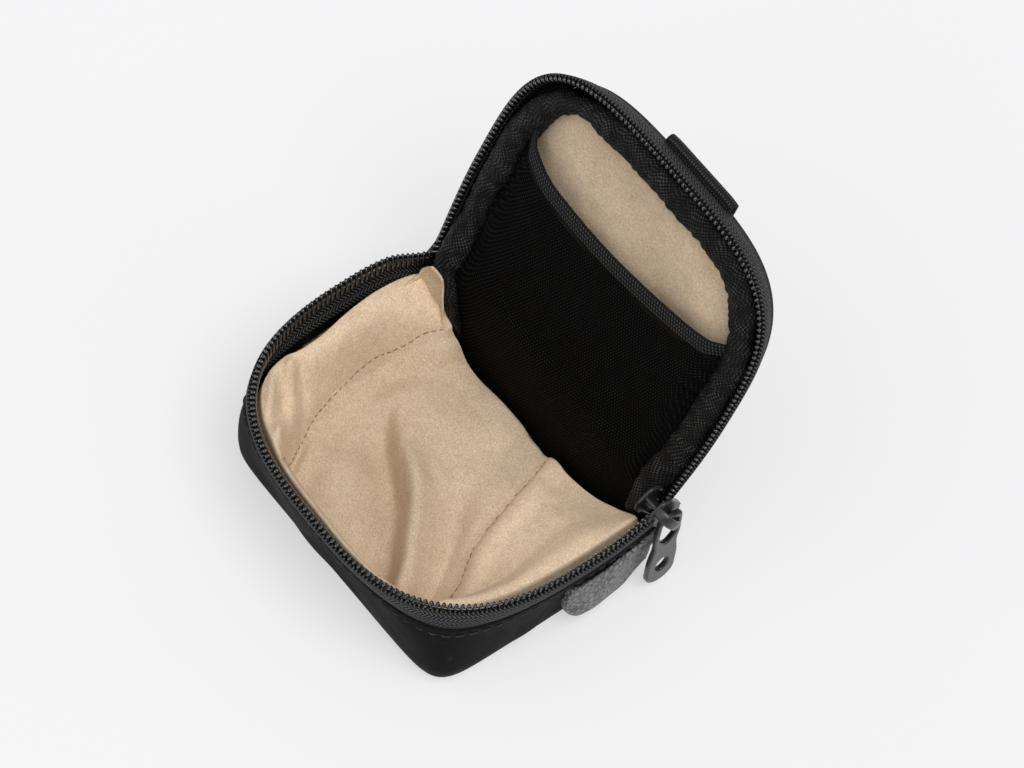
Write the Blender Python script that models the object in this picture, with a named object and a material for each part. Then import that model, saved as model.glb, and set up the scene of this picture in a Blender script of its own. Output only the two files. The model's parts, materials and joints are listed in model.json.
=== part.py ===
"""Small zip-around pouch, open: a soft box with a lid hinged along its rear edge.

+Z is up, +X runs along the hinge and the zip opens towards -Y, the front. The origin is
the centre of the flat base. Lengths are in millimetres and become metres in mesh_object.
"""

import math

import bmesh
import bpy
from mathutils import Matrix, Vector

MM = 0.001

# Driving dimensions of the body
RIM_HALF_WIDTH = 48.4
RIM_FRONT = 38.0
RIM_CORNER = 32.0
RIM_TAPER = 1.8
RIM_HEIGHT = 31.5
BASE_HALF_WIDTH = 43.0
BASE_FRONT = 29.0
BASE_CORNER = 12.0
REAR_FACE = 36.0
REAR_CORNER = 3.0
GAP = 0.3

# Layers of the wall, each an inset from the outer face
SHELL_THICK = 1.0
FOAM_THICK = 1.6
LINING_THICK = 0.8
BASE_THICK = 1.2
SHELL_TOP = 23.9
LINING_TOP = 25.2

# Zip: tape and coil of one half, measured from the seam plane
TAPE_THICK = 0.7
TAPE_WIDTH = 6.75
COIL_THICK = 1.4
COIL_WIDTH = 2.9
SEAM_HALF_GAP = 0.65

# Lid
OPENING_ANGLE = math.radians(112.5)
HINGE_Y = REAR_FACE + GAP
LID_FRONT = 36.8
LID_CORNER = 28.0
LID_LEAN = 0.45
LID_DEPTH = 11.0
LID_EDGE_CURVE = 2.2
LID_LINING = 5.8
BOARD_THICK = 0.7
ROLL_HALF_WIDTH = 3.1
ROLL_HALF_HEIGHT = 3.0
ROLL_INSET = 7.4
ROLL_SKIN = 0.7
POCKET_THICK = 0.8
POCKET_HEIGHT = -0.5
POCKET_START = 4.8
POCKET_HALF_WIDTH = 35.5
ELASTIC_WIDTH = 6.5
ELASTIC_THICK = 1.3
WEBBING_WIDTH = 25.4
WEBBING_CENTRE = 3.0

# Leather tab on the right wall
SIDE_TAB_FRONT = 7.0
SIDE_TAB_REAR = 34.5
SIDE_TAB_LOW = 3.0
SIDE_TAB_HIGH = 21.0
SIDE_TAB_BULGE_LOW = 3.4
SIDE_TAB_BULGE_HIGH = 0.8
SIDE_TAB_THICK = 1.5
SIDE_TAB_NOSE = 0.55

# Cloth tabs that cover the two ends of the zip
END_TAB_WIDTH = 4.6
END_TAB_LENGTH = 6.0
END_TAB_THICK = 1.2

# Slider and pull
SLIDER_Y = 34.2
SLIDER_TILT = math.radians(56.0)
SLIDER_HALF_LENGTH = 4.2
SLIDER_HALF_WIDTH = 3.9
PLATE_THICK = 0.7
CROWN_RISE = 4.0
CROWN_WIDTH = 2.2
CROWN_THICK = 1.1
PULL_LENGTH = 31.0
PULL_THICK = 1.6
PULL_WIDTH = 8.8
PULL_BAR = 1.8
PULL_SHIFT = 0.6
PULL_HOLE = 3.0

ARC_STEPS = 10
SIDE_STEPS = 3


def clear_scene():
    for obj in list(bpy.data.objects):
        bpy.data.objects.remove(obj)


def material(name, colour, roughness, metallic=0.0):
    made = bpy.data.materials.new(name)
    made.use_nodes = True
    shader = made.node_tree.nodes["Principled BSDF"]
    shader.inputs["Base Color"].default_value = (*colour, 1.0)
    shader.inputs["Roughness"].default_value = roughness
    shader.inputs["Metallic"].default_value = metallic
    return made


def mesh_object(name, made_of, build, parent=None):
    """One object from a function that fills a bmesh in millimetres, in its parent's frame."""
    shape = bmesh.new()
    build(shape)
    bmesh.ops.recalc_face_normals(shape, faces=shape.faces)
    bmesh.ops.scale(shape, vec=(MM, MM, MM), verts=shape.verts)
    mesh = bpy.data.meshes.new(name)
    shape.to_mesh(mesh)
    shape.free()
    mesh.materials.append(made_of)
    obj = bpy.data.objects.new(name, mesh)
    bpy.context.scene.collection.objects.link(obj)
    obj.parent = parent
    return obj


def smooth(obj, angle=35.0):
    obj.data.shade_smooth()
    obj.data.set_sharp_from_angle(angle=math.radians(angle))
    return obj


def empty(name, place_mm, tilt=0.0, parent=None):
    """A frame in millimetres from its parent, turned about X."""
    frame = bpy.data.objects.new(name, None)
    frame.location = Vector(place_mm) * MM
    frame.rotation_euler = (tilt, 0.0, 0.0)
    frame.parent = parent
    bpy.context.scene.collection.objects.link(frame)
    return frame


# ---- outlines ----


def body_size(height, inset=0.0):
    """Half width, front reach, corner radius and taper of the leaning wall at one height."""
    share = height / RIM_HEIGHT
    half = BASE_HALF_WIDTH + (RIM_HALF_WIDTH - BASE_HALF_WIDTH) * share
    front = BASE_FRONT + (RIM_FRONT - BASE_FRONT) * share
    corner = BASE_CORNER + (RIM_CORNER - BASE_CORNER) * share
    return half - inset, front - inset, max(corner - inset, 1.0), RIM_TAPER * share


def lid_size(height, inset=0.0):
    """The same for the lid, which narrows above its coil."""
    shrink = inset + LID_LEAN * max(height - SEAM_HALF_GAP - COIL_WIDTH, 0.0)
    return RIM_HALF_WIDTH - shrink, LID_FRONT - shrink, LID_CORNER - shrink, RIM_TAPER


def rear_half_width(height, inset=0.0):
    half, _front, _corner, taper = body_size(height, inset)
    return half - taper


def arc(centre, radius, start, end, steps=ARC_STEPS):
    turns = [start + (end - start) * i / steps for i in range(steps + 1)]
    return [(centre[0] + radius * math.cos(t), centre[1] + radius * math.sin(t)) for t in turns]


def u_path(half, front, corner, taper, rear):
    """From the rear right corner round the front to the rear left corner."""
    right = []
    for i in range(SIDE_STEPS):
        share = i / SIDE_STEPS
        right.append((half - taper * (1.0 - share), rear + (corner - front - rear) * share))
    turn = arc((half - corner, corner - front), corner, 0.0, -math.pi / 2)
    left = [(-x, y) for x, y in reversed(right + turn)]
    return right + turn + left


def closed_path(half, front, corner, taper, rear, rear_corner):
    """The same outline, closed across the rear with its own small corners."""
    path = u_path(half, front, corner, taper, rear - rear_corner)
    centre = (-half + taper + rear_corner, rear - rear_corner)
    left = arc(centre, rear_corner, math.pi, math.pi / 2, 3)[1:]
    right = [(-x, y) for x, y in reversed(left)]
    return path + left + right


# ---- solids ----


def join_rings(shape, rings, closed):
    """Quads between neighbouring rings of vertices, with a face on each end if it is open."""
    count = len(rings[0])
    pairs = list(zip(rings, rings[1:]))
    if closed:
        pairs.append((rings[-1], rings[0]))
    for first, second in pairs:
        for i in range(count):
            j = (i + 1) % count
            shape.faces.new((first[i], first[j], second[j], second[i]))
    if not closed:
        shape.faces.new(rings[0])
        shape.faces.new(reversed(rings[-1]))


def u_band(section, size, rear):
    """A band along the three zipped sides. The section is (inset, height) corners."""

    def build(shape):
        paths = [(u_path(*size(height, inset), rear), height) for inset, height in section]
        rings = []
        for i in range(len(paths[0][0])):
            rings.append([shape.verts.new((*path[i], height)) for path, height in paths])
        join_rings(shape, rings, False)

    return build


def box_section(inset, thick, low, high):
    return [(inset, low), (inset, high), (inset + thick, high), (inset + thick, low)]


def bent_section(thick, low, bend, high):
    """A thin upright section with a corner at each height where the wall's slope changes."""
    heights = (low, bend, high)
    return [(0.0, height) for height in heights] + [(thick, height) for height in heights[::-1]]


def plate(outlines):
    """A solid between outlines of equally many points, each given with its height."""

    def build(shape):
        rings = [[shape.verts.new((x, y, z)) for x, y in path] for path, z in outlines]
        join_rings(shape, rings, False)

    return build


def side_plate(outline, near, far):
    """An outline in Y and Z made solid between two places along X."""

    def build(shape):
        rings = [[shape.verts.new((x, y, z)) for y, z in outline] for x in (near, far)]
        join_rings(shape, rings, False)

    return build


def rear_plate(outline, near, far):
    """An outline in X and Z made solid between two places along Y."""

    def build(shape):
        rings = [[shape.verts.new((x, y, z)) for x, z in outline] for y in (near, far)]
        join_rings(shape, rings, False)

    return build


def body_plate(low, high, inset, rear):
    levels = []
    for height in (low, high):
        levels.append((closed_path(*body_size(height, inset), rear, REAR_CORNER), height))
    return plate(levels)


# ---- body ----


def rear_outline(low, high, inset, notch):
    """The rear wall's outline. Above the shell it is cut back on the right for the slider."""
    low_half = rear_half_width(low, inset)
    high_half = rear_half_width(high, inset)
    step = SHELL_TOP - 1.0
    step_half = rear_half_width(step, inset)
    cut = min(notch, step_half - 0.5)
    return [
        (-low_half, low),
        (low_half, low),
        (step_half, step),
        (cut, step),
        (cut, high),
        (-high_half, high),
    ]


def make_body(looks):
    nylon, foam, tan, tape, coil = (looks[k] for k in ("nylon", "foam", "tan", "tape", "coil"))
    wall_rear = REAR_FACE - SHELL_THICK - GAP
    bottom = BASE_THICK + GAP
    mesh_object("base_panel", nylon, body_plate(0.0, BASE_THICK, 0.0, REAR_FACE))
    foam_inset = SHELL_THICK + GAP
    lining_inset = foam_inset + FOAM_THICK + GAP
    floor_inset = lining_inset + LINING_THICK + GAP
    foam_low = bottom + GAP
    foam_high = foam_low + FOAM_THICK
    mesh_object(
        "wall_shell",
        nylon,
        u_band(box_section(0.0, SHELL_THICK, bottom, SHELL_TOP), body_size, wall_rear),
    )
    mesh_object(
        "wall_foam",
        foam,
        u_band(box_section(foam_inset, FOAM_THICK, bottom, SHELL_TOP), body_size, wall_rear),
    )
    mesh_object(
        "wall_lining",
        tan,
        u_band(box_section(lining_inset, LINING_THICK, bottom, LINING_TOP), body_size, wall_rear),
    )
    layer_rear = wall_rear - GAP
    mesh_object("base_foam", foam, body_plate(foam_low, foam_high, floor_inset, layer_rear - 3.0))
    floor_low = foam_high + GAP
    mesh_object(
        "floor_lining",
        tan,
        body_plate(floor_low, floor_low + LINING_THICK, floor_inset, layer_rear - 3.0),
    )
    rear_top = RIM_HEIGHT - GAP
    notch = SLIDER_INNER - 1.5
    mesh_object(
        "rear_panel",
        nylon,
        rear_plate(rear_outline(bottom, rear_top, 0.0, notch), wall_rear + GAP, REAR_FACE),
    )
    mesh_object(
        "rear_foam",
        foam,
        rear_plate(
            rear_outline(bottom, SHELL_TOP, floor_inset, notch), wall_rear - FOAM_THICK, wall_rear
        ),
    )
    lining_face = wall_rear - FOAM_THICK - GAP
    mesh_object(
        "rear_lining",
        tan,
        rear_plate(
            rear_outline(bottom, rear_top, floor_inset, notch),
            lining_face - LINING_THICK,
            lining_face,
        ),
    )
    tape_high = RIM_HEIGHT - SEAM_HALF_GAP
    mesh_object(
        "body_zip_tape",
        tape,
        u_band(box_section(0.0, TAPE_THICK, SHELL_TOP + GAP, tape_high), body_size, wall_rear),
    )
    coil_section = box_section(TAPE_THICK + GAP, COIL_THICK, tape_high - COIL_WIDTH, tape_high)
    mesh_object("body_zip_coil", coil, u_band(coil_section, body_size, wall_rear))


def wall_x(y, height):
    """The wall's outer face on its straight right side."""
    half, front, corner, taper = body_size(height)
    start = REAR_FACE - SHELL_THICK - GAP
    share = (y - corner + front) / (start - corner + front)
    return half - taper * max(share, 0.0)


def side_tab(shape):
    """A leather strip sewn at its ends to the right wall, bowed out nearer its front end."""
    steps = 12
    rings = []
    for i in range(steps + 1):
        share = i / steps
        y = SIDE_TAB_FRONT + (SIDE_TAB_REAR - SIDE_TAB_FRONT) * share
        bow = math.sin(math.pi * share**SIDE_TAB_NOSE)
        low = GAP + SIDE_TAB_BULGE_LOW * bow
        high = GAP + SIDE_TAB_BULGE_HIGH * bow
        ring = []
        for out, height in (
            (low, SIDE_TAB_LOW),
            (low + SIDE_TAB_THICK, SIDE_TAB_LOW),
            (high + SIDE_TAB_THICK, SIDE_TAB_HIGH),
            (high, SIDE_TAB_HIGH),
        ):
            ring.append(shape.verts.new((wall_x(y, height) + out, y, height)))
        rings.append(ring)
    join_rings(shape, rings, False)


def zip_end_tabs(made_of):
    """A folded cloth tab at each end of the zip, sewn inside the rear panel."""
    high = RIM_HEIGHT - GAP
    rear = REAR_FACE - SHELL_THICK - 2 * GAP
    for side, name in ((-1, "zip_end_tab_left"), (1, "zip_end_tab_right")):
        outer = SLIDER_INNER - PLATE_THICK - 2 * GAP
        outline = [
            (side * outer, high - END_TAB_LENGTH),
            (side * outer, high),
            (side * (outer - END_TAB_WIDTH), high),
            (side * (outer - END_TAB_WIDTH), high - END_TAB_LENGTH),
        ]
        mesh_object(name, made_of, rear_plate(outline, rear - END_TAB_THICK, rear))


# ---- lid, modelled closed about the hinge axis and then turned open ----


def lid_band(section, rear=REAR_FACE - SHELL_THICK - GAP):
    """A band of the lid in the hinge's frame: heights count up from the seam plane."""

    def build(shape):
        u_band(section, lid_size, rear)(shape)
        bmesh.ops.translate(shape, vec=(0.0, -HINGE_Y, 0.0), verts=shape.verts)

    return build


def lid_plate(levels, rear):
    """A plate of the lid from (inset, height) pairs."""

    def build(shape):
        outlines = []
        for inset, height in levels:
            outlines.append((closed_path(*lid_size(height, inset), rear, REAR_CORNER), height))
        plate(outlines)(shape)
        bmesh.ops.translate(shape, vec=(0.0, -HINGE_Y, 0.0), verts=shape.verts)

    return build


def oval(inset, height, half_width, half_height, start, end, steps=12):
    """Points of an upright oval, with angles counted from its lowest point, away from the lid."""
    turns = [start + (end - start) * i / steps for i in range(steps + 1)]
    return [(inset + half_width * math.sin(t), height - half_height * math.cos(t)) for t in turns]


def roll_cover(inset, height):
    """The roll's fabric, wrapped round its core with a narrow seam where it meets the lining."""
    seam = 0.12
    start = math.pi + seam
    end = 3 * math.pi - seam
    outside = oval(inset, height, ROLL_HALF_WIDTH, ROLL_HALF_HEIGHT, start, end)
    inside_width = ROLL_HALF_WIDTH - ROLL_SKIN
    inside_height = ROLL_HALF_HEIGHT - ROLL_SKIN
    inside = oval(inset, height, inside_width, inside_height, start, end)
    return outside + inside[::-1]


def roll_core(inset, height):
    half_width = ROLL_HALF_WIDTH - ROLL_SKIN - 2 * GAP
    half_height = ROLL_HALF_HEIGHT - ROLL_SKIN - 2 * GAP
    return oval(inset, height, half_width, half_height, 0.0, 2 * math.pi)[:-1]


def pocket_edge(x):
    """How far from the hinge the pocket's top edge lies: it sags, and rises at both sides."""
    lowest = -4.0
    rise = 0.0071 if x < lowest else 0.0041
    return 40.9 + rise * (x - lowest) ** 2


def pocket_strip(start, end, low, high, half_width, steps=14):
    """A sheet between two curves, both functions of x giving the distance from the hinge."""

    def build(shape):
        rings = []
        for i in range(steps + 1):
            x = -half_width + 2 * half_width * i / steps
            corners = ((start(x), low), (end(x), low), (end(x), high), (start(x), high))
            rings.append([shape.verts.new((x, -s, z)) for s, z in corners])
        join_rings(shape, rings, False)

    return build


def webbing_tab(shape):
    """A short folded loop of webbing that stands out of the front seam of the lid."""
    reach = 2.8
    height = 7.0
    radius = 1.6
    front = -HINGE_Y - lid_size(height - radius)[1] - GAP
    nose = arc((front - reach + radius, height), radius, math.pi / 2, math.pi * 1.5, 6)
    outline = [(front, height + radius), *nose, (front, height - radius)]
    half = WEBBING_WIDTH / 2
    side_plate(outline, WEBBING_CENTRE - half, WEBBING_CENTRE + half)(shape)


def make_lid(looks, hinge):
    nylon, foam, tan, tape, coil = (looks[k] for k in ("nylon", "foam", "tan", "tape", "coil"))
    inner_inset = TAPE_THICK + 2 * GAP
    tape_low = SEAM_HALF_GAP
    tape_high = tape_low + TAPE_WIDTH
    rear = REAR_FACE - GAP
    coil_high = tape_low + COIL_WIDTH
    tape_section = bent_section(TAPE_THICK, tape_low, coil_high, tape_high)
    mesh_object("lid_zip_tape", tape, lid_band(tape_section), hinge)
    coil_section = box_section(TAPE_THICK + GAP, COIL_THICK, tape_low, coil_high)
    mesh_object("lid_zip_coil", coil, lid_band(coil_section), hinge)
    binding_low = tape_high + GAP
    binding_high = binding_low + 1.6
    binding = [(0.1, binding_low), (1.2, binding_high), (2.2, binding_high), (1.1, binding_low)]
    mesh_object("lid_edge_binding", looks["webbing"], lid_band(binding), hinge)
    panel_low = binding_high + GAP
    mesh_object(
        "lid_panel",
        nylon,
        lid_plate(
            [(1.4, panel_low), (1.7, panel_low + 0.5), (1.4 + LID_EDGE_CURVE, LID_DEPTH)], rear
        ),
        hinge,
    )
    board_low = LID_LINING + LINING_THICK + GAP
    board_high = board_low + BOARD_THICK
    inner_rear = rear - SHELL_THICK - GAP
    mesh_object(
        "lid_board",
        looks["board"],
        lid_plate([(inner_inset + GAP, board_low), (inner_inset + GAP, board_high)], inner_rear),
        hinge,
    )
    mesh_object(
        "lid_foam",
        foam,
        lid_plate([(2.5, board_high + GAP), (2.5, binding_high)], inner_rear),
        hinge,
    )
    mesh_object(
        "lid_lining",
        tan,
        lid_plate(
            [(inner_inset, LID_LINING), (inner_inset, LID_LINING + LINING_THICK)], inner_rear
        ),
        hinge,
    )
    roll_height = LID_LINING - GAP - ROLL_HALF_HEIGHT
    roll_rear = HINGE_Y - POCKET_START
    cover = lid_band(roll_cover(ROLL_INSET, roll_height), roll_rear)
    smooth(mesh_object("lid_roll_cover", nylon, cover, hinge), 60.0)
    core = lid_band(roll_core(ROLL_INSET, roll_height), roll_rear)
    smooth(mesh_object("lid_roll_core", foam, core, hinge), 60.0)
    notch = SLIDER_INNER - 1.5
    lid_left = -RIM_HALF_WIDTH + RIM_TAPER + GAP
    lid_rear = [
        (lid_left, SEAM_HALF_GAP),
        (notch, SEAM_HALF_GAP),
        (notch, tape_high),
        (lid_left, tape_high),
    ]
    mesh_object(
        "lid_rear_panel", nylon, rear_plate(lid_rear, -GAP - SHELL_THICK, -GAP), hinge
    )
    mesh_object(
        "mesh_pocket",
        looks["mesh"],
        pocket_strip(
            lambda x: POCKET_START,
            lambda x: pocket_edge(x) - ELASTIC_WIDTH - GAP,
            POCKET_HEIGHT - POCKET_THICK / 2,
            POCKET_HEIGHT + POCKET_THICK / 2,
            POCKET_HALF_WIDTH,
        ),
        hinge,
    )
    mesh_object(
        "pocket_elastic",
        looks["elastic"],
        pocket_strip(
            lambda x: pocket_edge(x) - ELASTIC_WIDTH,
            pocket_edge,
            POCKET_HEIGHT - ELASTIC_THICK / 2,
            POCKET_HEIGHT + ELASTIC_THICK / 2,
            POCKET_HALF_WIDTH,
        ),
        hinge,
    )
    smooth(mesh_object("lid_webbing_tab", looks["webbing"], webbing_tab, hinge), 60.0)


# ---- slider and pull, in the slider's frame: Y towards the mouth, Z across ----

SLIDER_OUTER = RIM_HALF_WIDTH - RIM_TAPER + 0.8
SLIDER_INNER = SLIDER_OUTER - 4.0


def slider_body(shape):
    """Two plates joined by a thin post that runs between the two rows of coil."""
    length = SLIDER_HALF_LENGTH
    width = SLIDER_HALF_WIDTH
    tail = 0.62 * width
    outline = [
        (length, 0.0),
        (0.62 * length, width),
        (-0.2 * length, width),
        (-0.75 * length, tail),
        (-length, tail),
        (-length, -tail),
        (-0.75 * length, -tail),
        (-0.2 * length, -width),
        (0.62 * length, -width),
    ]
    side_plate(outline, SLIDER_INNER - PLATE_THICK, SLIDER_INNER)(shape)
    side_plate(outline, SLIDER_OUTER, SLIDER_OUTER + PLATE_THICK)(shape)


def slider_post(shape):
    overlap = PLATE_THICK / 2
    outline = [(-1.6, -0.4), (1.6, -0.4), (1.6, 0.4), (-1.6, 0.4)]
    side_plate(outline, SLIDER_INNER - overlap, SLIDER_OUTER + overlap)(shape)


def crown(shape):
    """The bridge on the outer plate that the pull hangs from."""
    half = 3.9
    outer = [(-half, 0.0), (-half + 0.5, 2.9), (-half + 1.7, CROWN_RISE)]
    inner_half = half - CROWN_THICK
    inner_top = CROWN_RISE - CROWN_THICK
    inner = [(-inner_half, 0.0), (-inner_half + 0.4, inner_top - 0.5), (-inner_half + 1.1, inner_top)]
    profile = outer + [(-y, x) for y, x in reversed(outer)]
    profile += [(-y, x) for y, x in inner] + list(reversed(inner))
    base = SLIDER_OUTER + PLATE_THICK + GAP
    rings = []
    for z in (-CROWN_WIDTH / 2, CROWN_WIDTH / 2):
        rings.append([shape.verts.new((base + x, y, z)) for y, x in profile])
    join_rings(shape, rings, False)


PULL_X = SLIDER_OUTER + PLATE_THICK + GAP + 0.6


def pull_outline():
    """The pull's outline in (y, z) below its bar: a loop, a waist and a rounded body."""
    half = PULL_WIDTH / 2
    loop = 0.94 * half
    waist = 0.78 * half
    top = PULL_BAR / 2
    tip = half - 0.2
    right = [
        (loop - 1.2, top),
        (loop, top - 1.2),
        (loop, -9.5),
        (waist, -13.0),
        (waist + 0.1, -14.6),
        (half - 0.3, -18.5),
        (half, -21.5),
    ]
    end = arc((0.0, -(PULL_LENGTH - top - tip) ), tip, 0.0, -math.pi, 10)
    left = [(-y, z) for y, z in reversed(right)]
    return right + end + left


def pull_plate(shape):
    side_plate(pull_outline(), PULL_X, PULL_X + PULL_THICK)(shape)


def pull_cutters(parent, made_of):
    """The loop's window and the finger hole, as one cutter mesh."""

    def build(shape):
        near = PULL_X - 1.0
        far = PULL_X + PULL_THICK + 1.0
        half = PULL_WIDTH / 2 * 0.94 - 1.0
        window = [(-half, -0.9), (half, -0.9), (half, -9.2), (half - 1.2, -11.2)]
        window += [(-half + 1.2, -11.2), (-half, -9.2)]
        side_plate(window, near, far)(shape)
        centre = (0.0, -22.6)
        side_plate(arc(centre, PULL_HOLE, 0.0, 2 * math.pi, 16)[:-1], near, far)(shape)

    cutter = mesh_object("pull_cutter", made_of, build, parent)
    cutter.hide_render = True
    cutter.display_type = "WIRE"
    return cutter


def boolean(obj, other, operation):
    modifier = obj.modifiers.new(operation.title(), "BOOLEAN")
    modifier.operation = operation
    modifier.object = other


def make_slider(looks):
    metal = looks["metal"]
    slider = empty("slider_frame", (0.0, SLIDER_Y, RIM_HEIGHT))
    # The frame's +Y is the travel; the plates' mouth points up and to the front.
    turned = empty("slider_tilt", (0.0, 0.0, 0.0), math.pi - SLIDER_TILT, slider)
    plates = mesh_object("slider_body", metal, slider_body, turned)
    post = mesh_object("post_tool", metal, slider_post, slider)
    post.hide_render = True
    post.display_type = "WIRE"
    boolean(plates, post, "UNION")
    smooth(mesh_object("slider_crown", metal, crown, turned), 40.0)
    swing = empty("pull_frame", (0.0, PULL_SHIFT, 0.0), 0.0, slider)
    pull = mesh_object("zip_pull", metal, pull_plate, swing)
    boolean(pull, pull_cutters(swing, metal), "DIFFERENCE")
    smooth(pull, 40.0)


def main():
    clear_scene()
    looks = {
        "nylon": material("black_nylon", (0.018, 0.018, 0.02), 0.75),
        "foam": material("grey_foam", (0.12, 0.12, 0.12), 0.9),
        "tan": material("tan_microfibre", (0.55, 0.40, 0.26), 0.95),
        "tape": material("zip_tape", (0.02, 0.02, 0.022), 0.8),
        "coil": material("nylon_coil", (0.01, 0.01, 0.01), 0.35),
        "mesh": material("mesh_knit", (0.008, 0.008, 0.009), 0.85),
        "elastic": material("ribbed_elastic", (0.02, 0.02, 0.022), 0.8),
        "webbing": material("webbing", (0.02, 0.02, 0.022), 0.75),
        "leather": material("pebbled_leather", (0.05, 0.05, 0.052), 0.5),
        "metal": material("black_metal", (0.04, 0.04, 0.042), 0.35, 0.9),
        "board": material("stiffener_board", (0.25, 0.25, 0.25), 0.7),
    }
    make_body(looks)
    zip_end_tabs(looks["webbing"])
    smooth(mesh_object("leather_side_tab", looks["leather"], side_tab), 30.0)
    hinge = empty("lid_hinge", (0.0, HINGE_Y, RIM_HEIGHT), -OPENING_ANGLE)
    make_lid(looks, hinge)
    make_slider(looks)


main()
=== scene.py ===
"""Visual model of a small open zip-around pouch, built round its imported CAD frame.

The world frame is the frame's: +Z up, +X along the lid's hinge, -Y to the front. Shapes
are worked out in millimetres and become metres in mesh_piece.
"""

import json
import math

import bmesh
import bpy
import numpy as np
from mathutils import Matrix, Vector
from mathutils.bvhtree import BVHTree


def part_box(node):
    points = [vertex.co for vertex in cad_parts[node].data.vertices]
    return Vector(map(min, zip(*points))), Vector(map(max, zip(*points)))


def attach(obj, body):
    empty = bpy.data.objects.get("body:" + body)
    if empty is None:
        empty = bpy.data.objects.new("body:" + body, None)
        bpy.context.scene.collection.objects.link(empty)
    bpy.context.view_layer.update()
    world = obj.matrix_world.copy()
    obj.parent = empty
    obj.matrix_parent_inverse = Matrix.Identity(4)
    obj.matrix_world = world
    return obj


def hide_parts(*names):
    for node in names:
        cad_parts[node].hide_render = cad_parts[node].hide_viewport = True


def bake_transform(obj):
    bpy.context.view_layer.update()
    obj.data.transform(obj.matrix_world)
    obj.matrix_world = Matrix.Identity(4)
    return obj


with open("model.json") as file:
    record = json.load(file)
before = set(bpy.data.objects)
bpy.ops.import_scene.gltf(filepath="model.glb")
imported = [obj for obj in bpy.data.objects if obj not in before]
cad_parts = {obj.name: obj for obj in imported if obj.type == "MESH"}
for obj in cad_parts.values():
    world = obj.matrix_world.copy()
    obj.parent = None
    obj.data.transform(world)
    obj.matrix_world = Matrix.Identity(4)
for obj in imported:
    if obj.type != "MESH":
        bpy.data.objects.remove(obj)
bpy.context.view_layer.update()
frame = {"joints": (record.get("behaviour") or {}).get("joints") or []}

MM = 0.001


def cad_box(node):
    """Lowest and highest corner of a CAD node, in millimetres."""
    low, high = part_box(node)
    return np.array(low) / MM, np.array(high) / MM


JOINTS = {joint["name"]: joint for joint in frame["joints"]}
HINGE_Y, HINGE_Z = (JOINTS["lid_hinge"]["pos_m"][i] / MM for i in (1, 2))
OPENING = math.radians(112.5)
ALONG_LID = np.array((0.0, -math.cos(OPENING), math.sin(OPENING)))
OUT_OF_LID = np.array((0.0, math.sin(OPENING), math.cos(OPENING)))

# Body, in millimetres
RIM_Z = HINGE_Z
SEAM_Z = 24.2
REAR_Y = HINGE_Y - 0.3
REAR_CORNER = 3.0
BELLY_Y = 13.0
RIM_HALF = 49.4
RIM_FRONT = 38.0
RIM_REAR_RIGHT = 47.1
RIM_REAR_LEFT = 45.2
BASE_HALF = 43.2
BASE_FRONT = 29.3
LINING_TOP = 27.0

# Zip
COIL_PITCH = 1.57
TAPE_HALF_THICK = 0.35
LID_TAPE_DEPTH = 8.2
LID_SIDE_LEAN = 4.4
LID_SEAM_INSET = 3.3

# Lid, in its own plane: x, the distance from the hinge and the depth outwards
LID_HALF = 48.1
LID_REAR_HALF = 46.5
LID_LENGTH = 73.7
LID_BELLY = 30.0
LID_REAR_CORNER = 2.4
LID_LINING = 5.8
ROLL_INSET = 6.5
ROLL_DEPTH = 2.5

# Slider
SLIDER_LEAN = math.radians(56.0)


# ---- small mesh tools ----


def lid_to_world(points):
    """(x, distance from the hinge, depth) in the open lid becomes world millimetres."""
    points = np.asarray(points, float)
    world = np.zeros_like(points)
    world[..., 0] = points[..., 0]
    world += points[..., 1:2] * ALONG_LID + points[..., 2:3] * OUT_OF_LID
    world[..., 1] += HINGE_Y
    world[..., 2] += HINGE_Z
    return world


def unit(vectors):
    length = np.linalg.norm(vectors, axis=-1, keepdims=True)
    return vectors / np.maximum(length, 1e-9)


def smoothstep(low, high, value):
    t = np.clip((value - low) / (high - low), 0.0, 1.0)
    return t * t * (3.0 - 2.0 * t)


def bump(value, width):
    return np.exp(-((value / width) ** 2))


def lengths_along(path):
    steps = np.linalg.norm(np.diff(path, axis=0), axis=1)
    return np.concatenate(([0.0], np.cumsum(steps)))


def resample(path, count):
    """The same path with evenly spaced points."""
    path = np.asarray(path, float)
    lengths = lengths_along(path)
    wanted = np.linspace(0.0, lengths[-1], count)
    return np.stack([np.interp(wanted, lengths, path[:, i]) for i in range(path.shape[1])], 1)


def spline(points, count):
    """A Catmull-Rom curve through a few points, evenly resampled."""
    points = np.asarray(points, float)
    padded = np.vstack([2 * points[0] - points[1], points, 2 * points[-1] - points[-2]])
    out = []
    for a, b, c, d in zip(padded, padded[1:], padded[2:], padded[3:]):
        for t in np.linspace(0.0, 1.0, 16, endpoint=False):
            out.append(
                0.5
                * (
                    2 * b
                    + (c - a) * t
                    + (2 * a - 5 * b + 4 * c - d) * t**2
                    + (3 * b - a - 3 * c + d) * t**3
                )
            )
    out.append(points[-1])
    return resample(out, count)


def grid_faces(rows, columns, wrap_rows, wrap_columns):
    faces = []
    for i in range(rows if wrap_rows else rows - 1):
        for j in range(columns if wrap_columns else columns - 1):
            k, m = (i + 1) % rows, (j + 1) % columns
            faces.append(
                (i * columns + j, i * columns + m, k * columns + m, k * columns + j)
            )
    return faces


def mesh_piece(name, points, faces, look, uv=None, smooth=True):
    """A mesh object from millimetre points. uv is one pair of millimetres for each point."""
    mesh = bpy.data.meshes.new(name)
    mesh.from_pydata((np.asarray(points) * MM).tolist(), [], faces)
    if uv is not None:
        layer = mesh.uv_layers.new(name="cloth")
        corners = np.array([loop.vertex_index for loop in mesh.loops])
        layer.data.foreach_set("uv", np.asarray(uv, np.float32)[corners].ravel())
    if smooth:
        mesh.shade_smooth()
    mesh.materials.append(look)
    obj = bpy.data.objects.new(name, mesh)
    bpy.context.scene.collection.objects.link(obj)
    return obj


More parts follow.
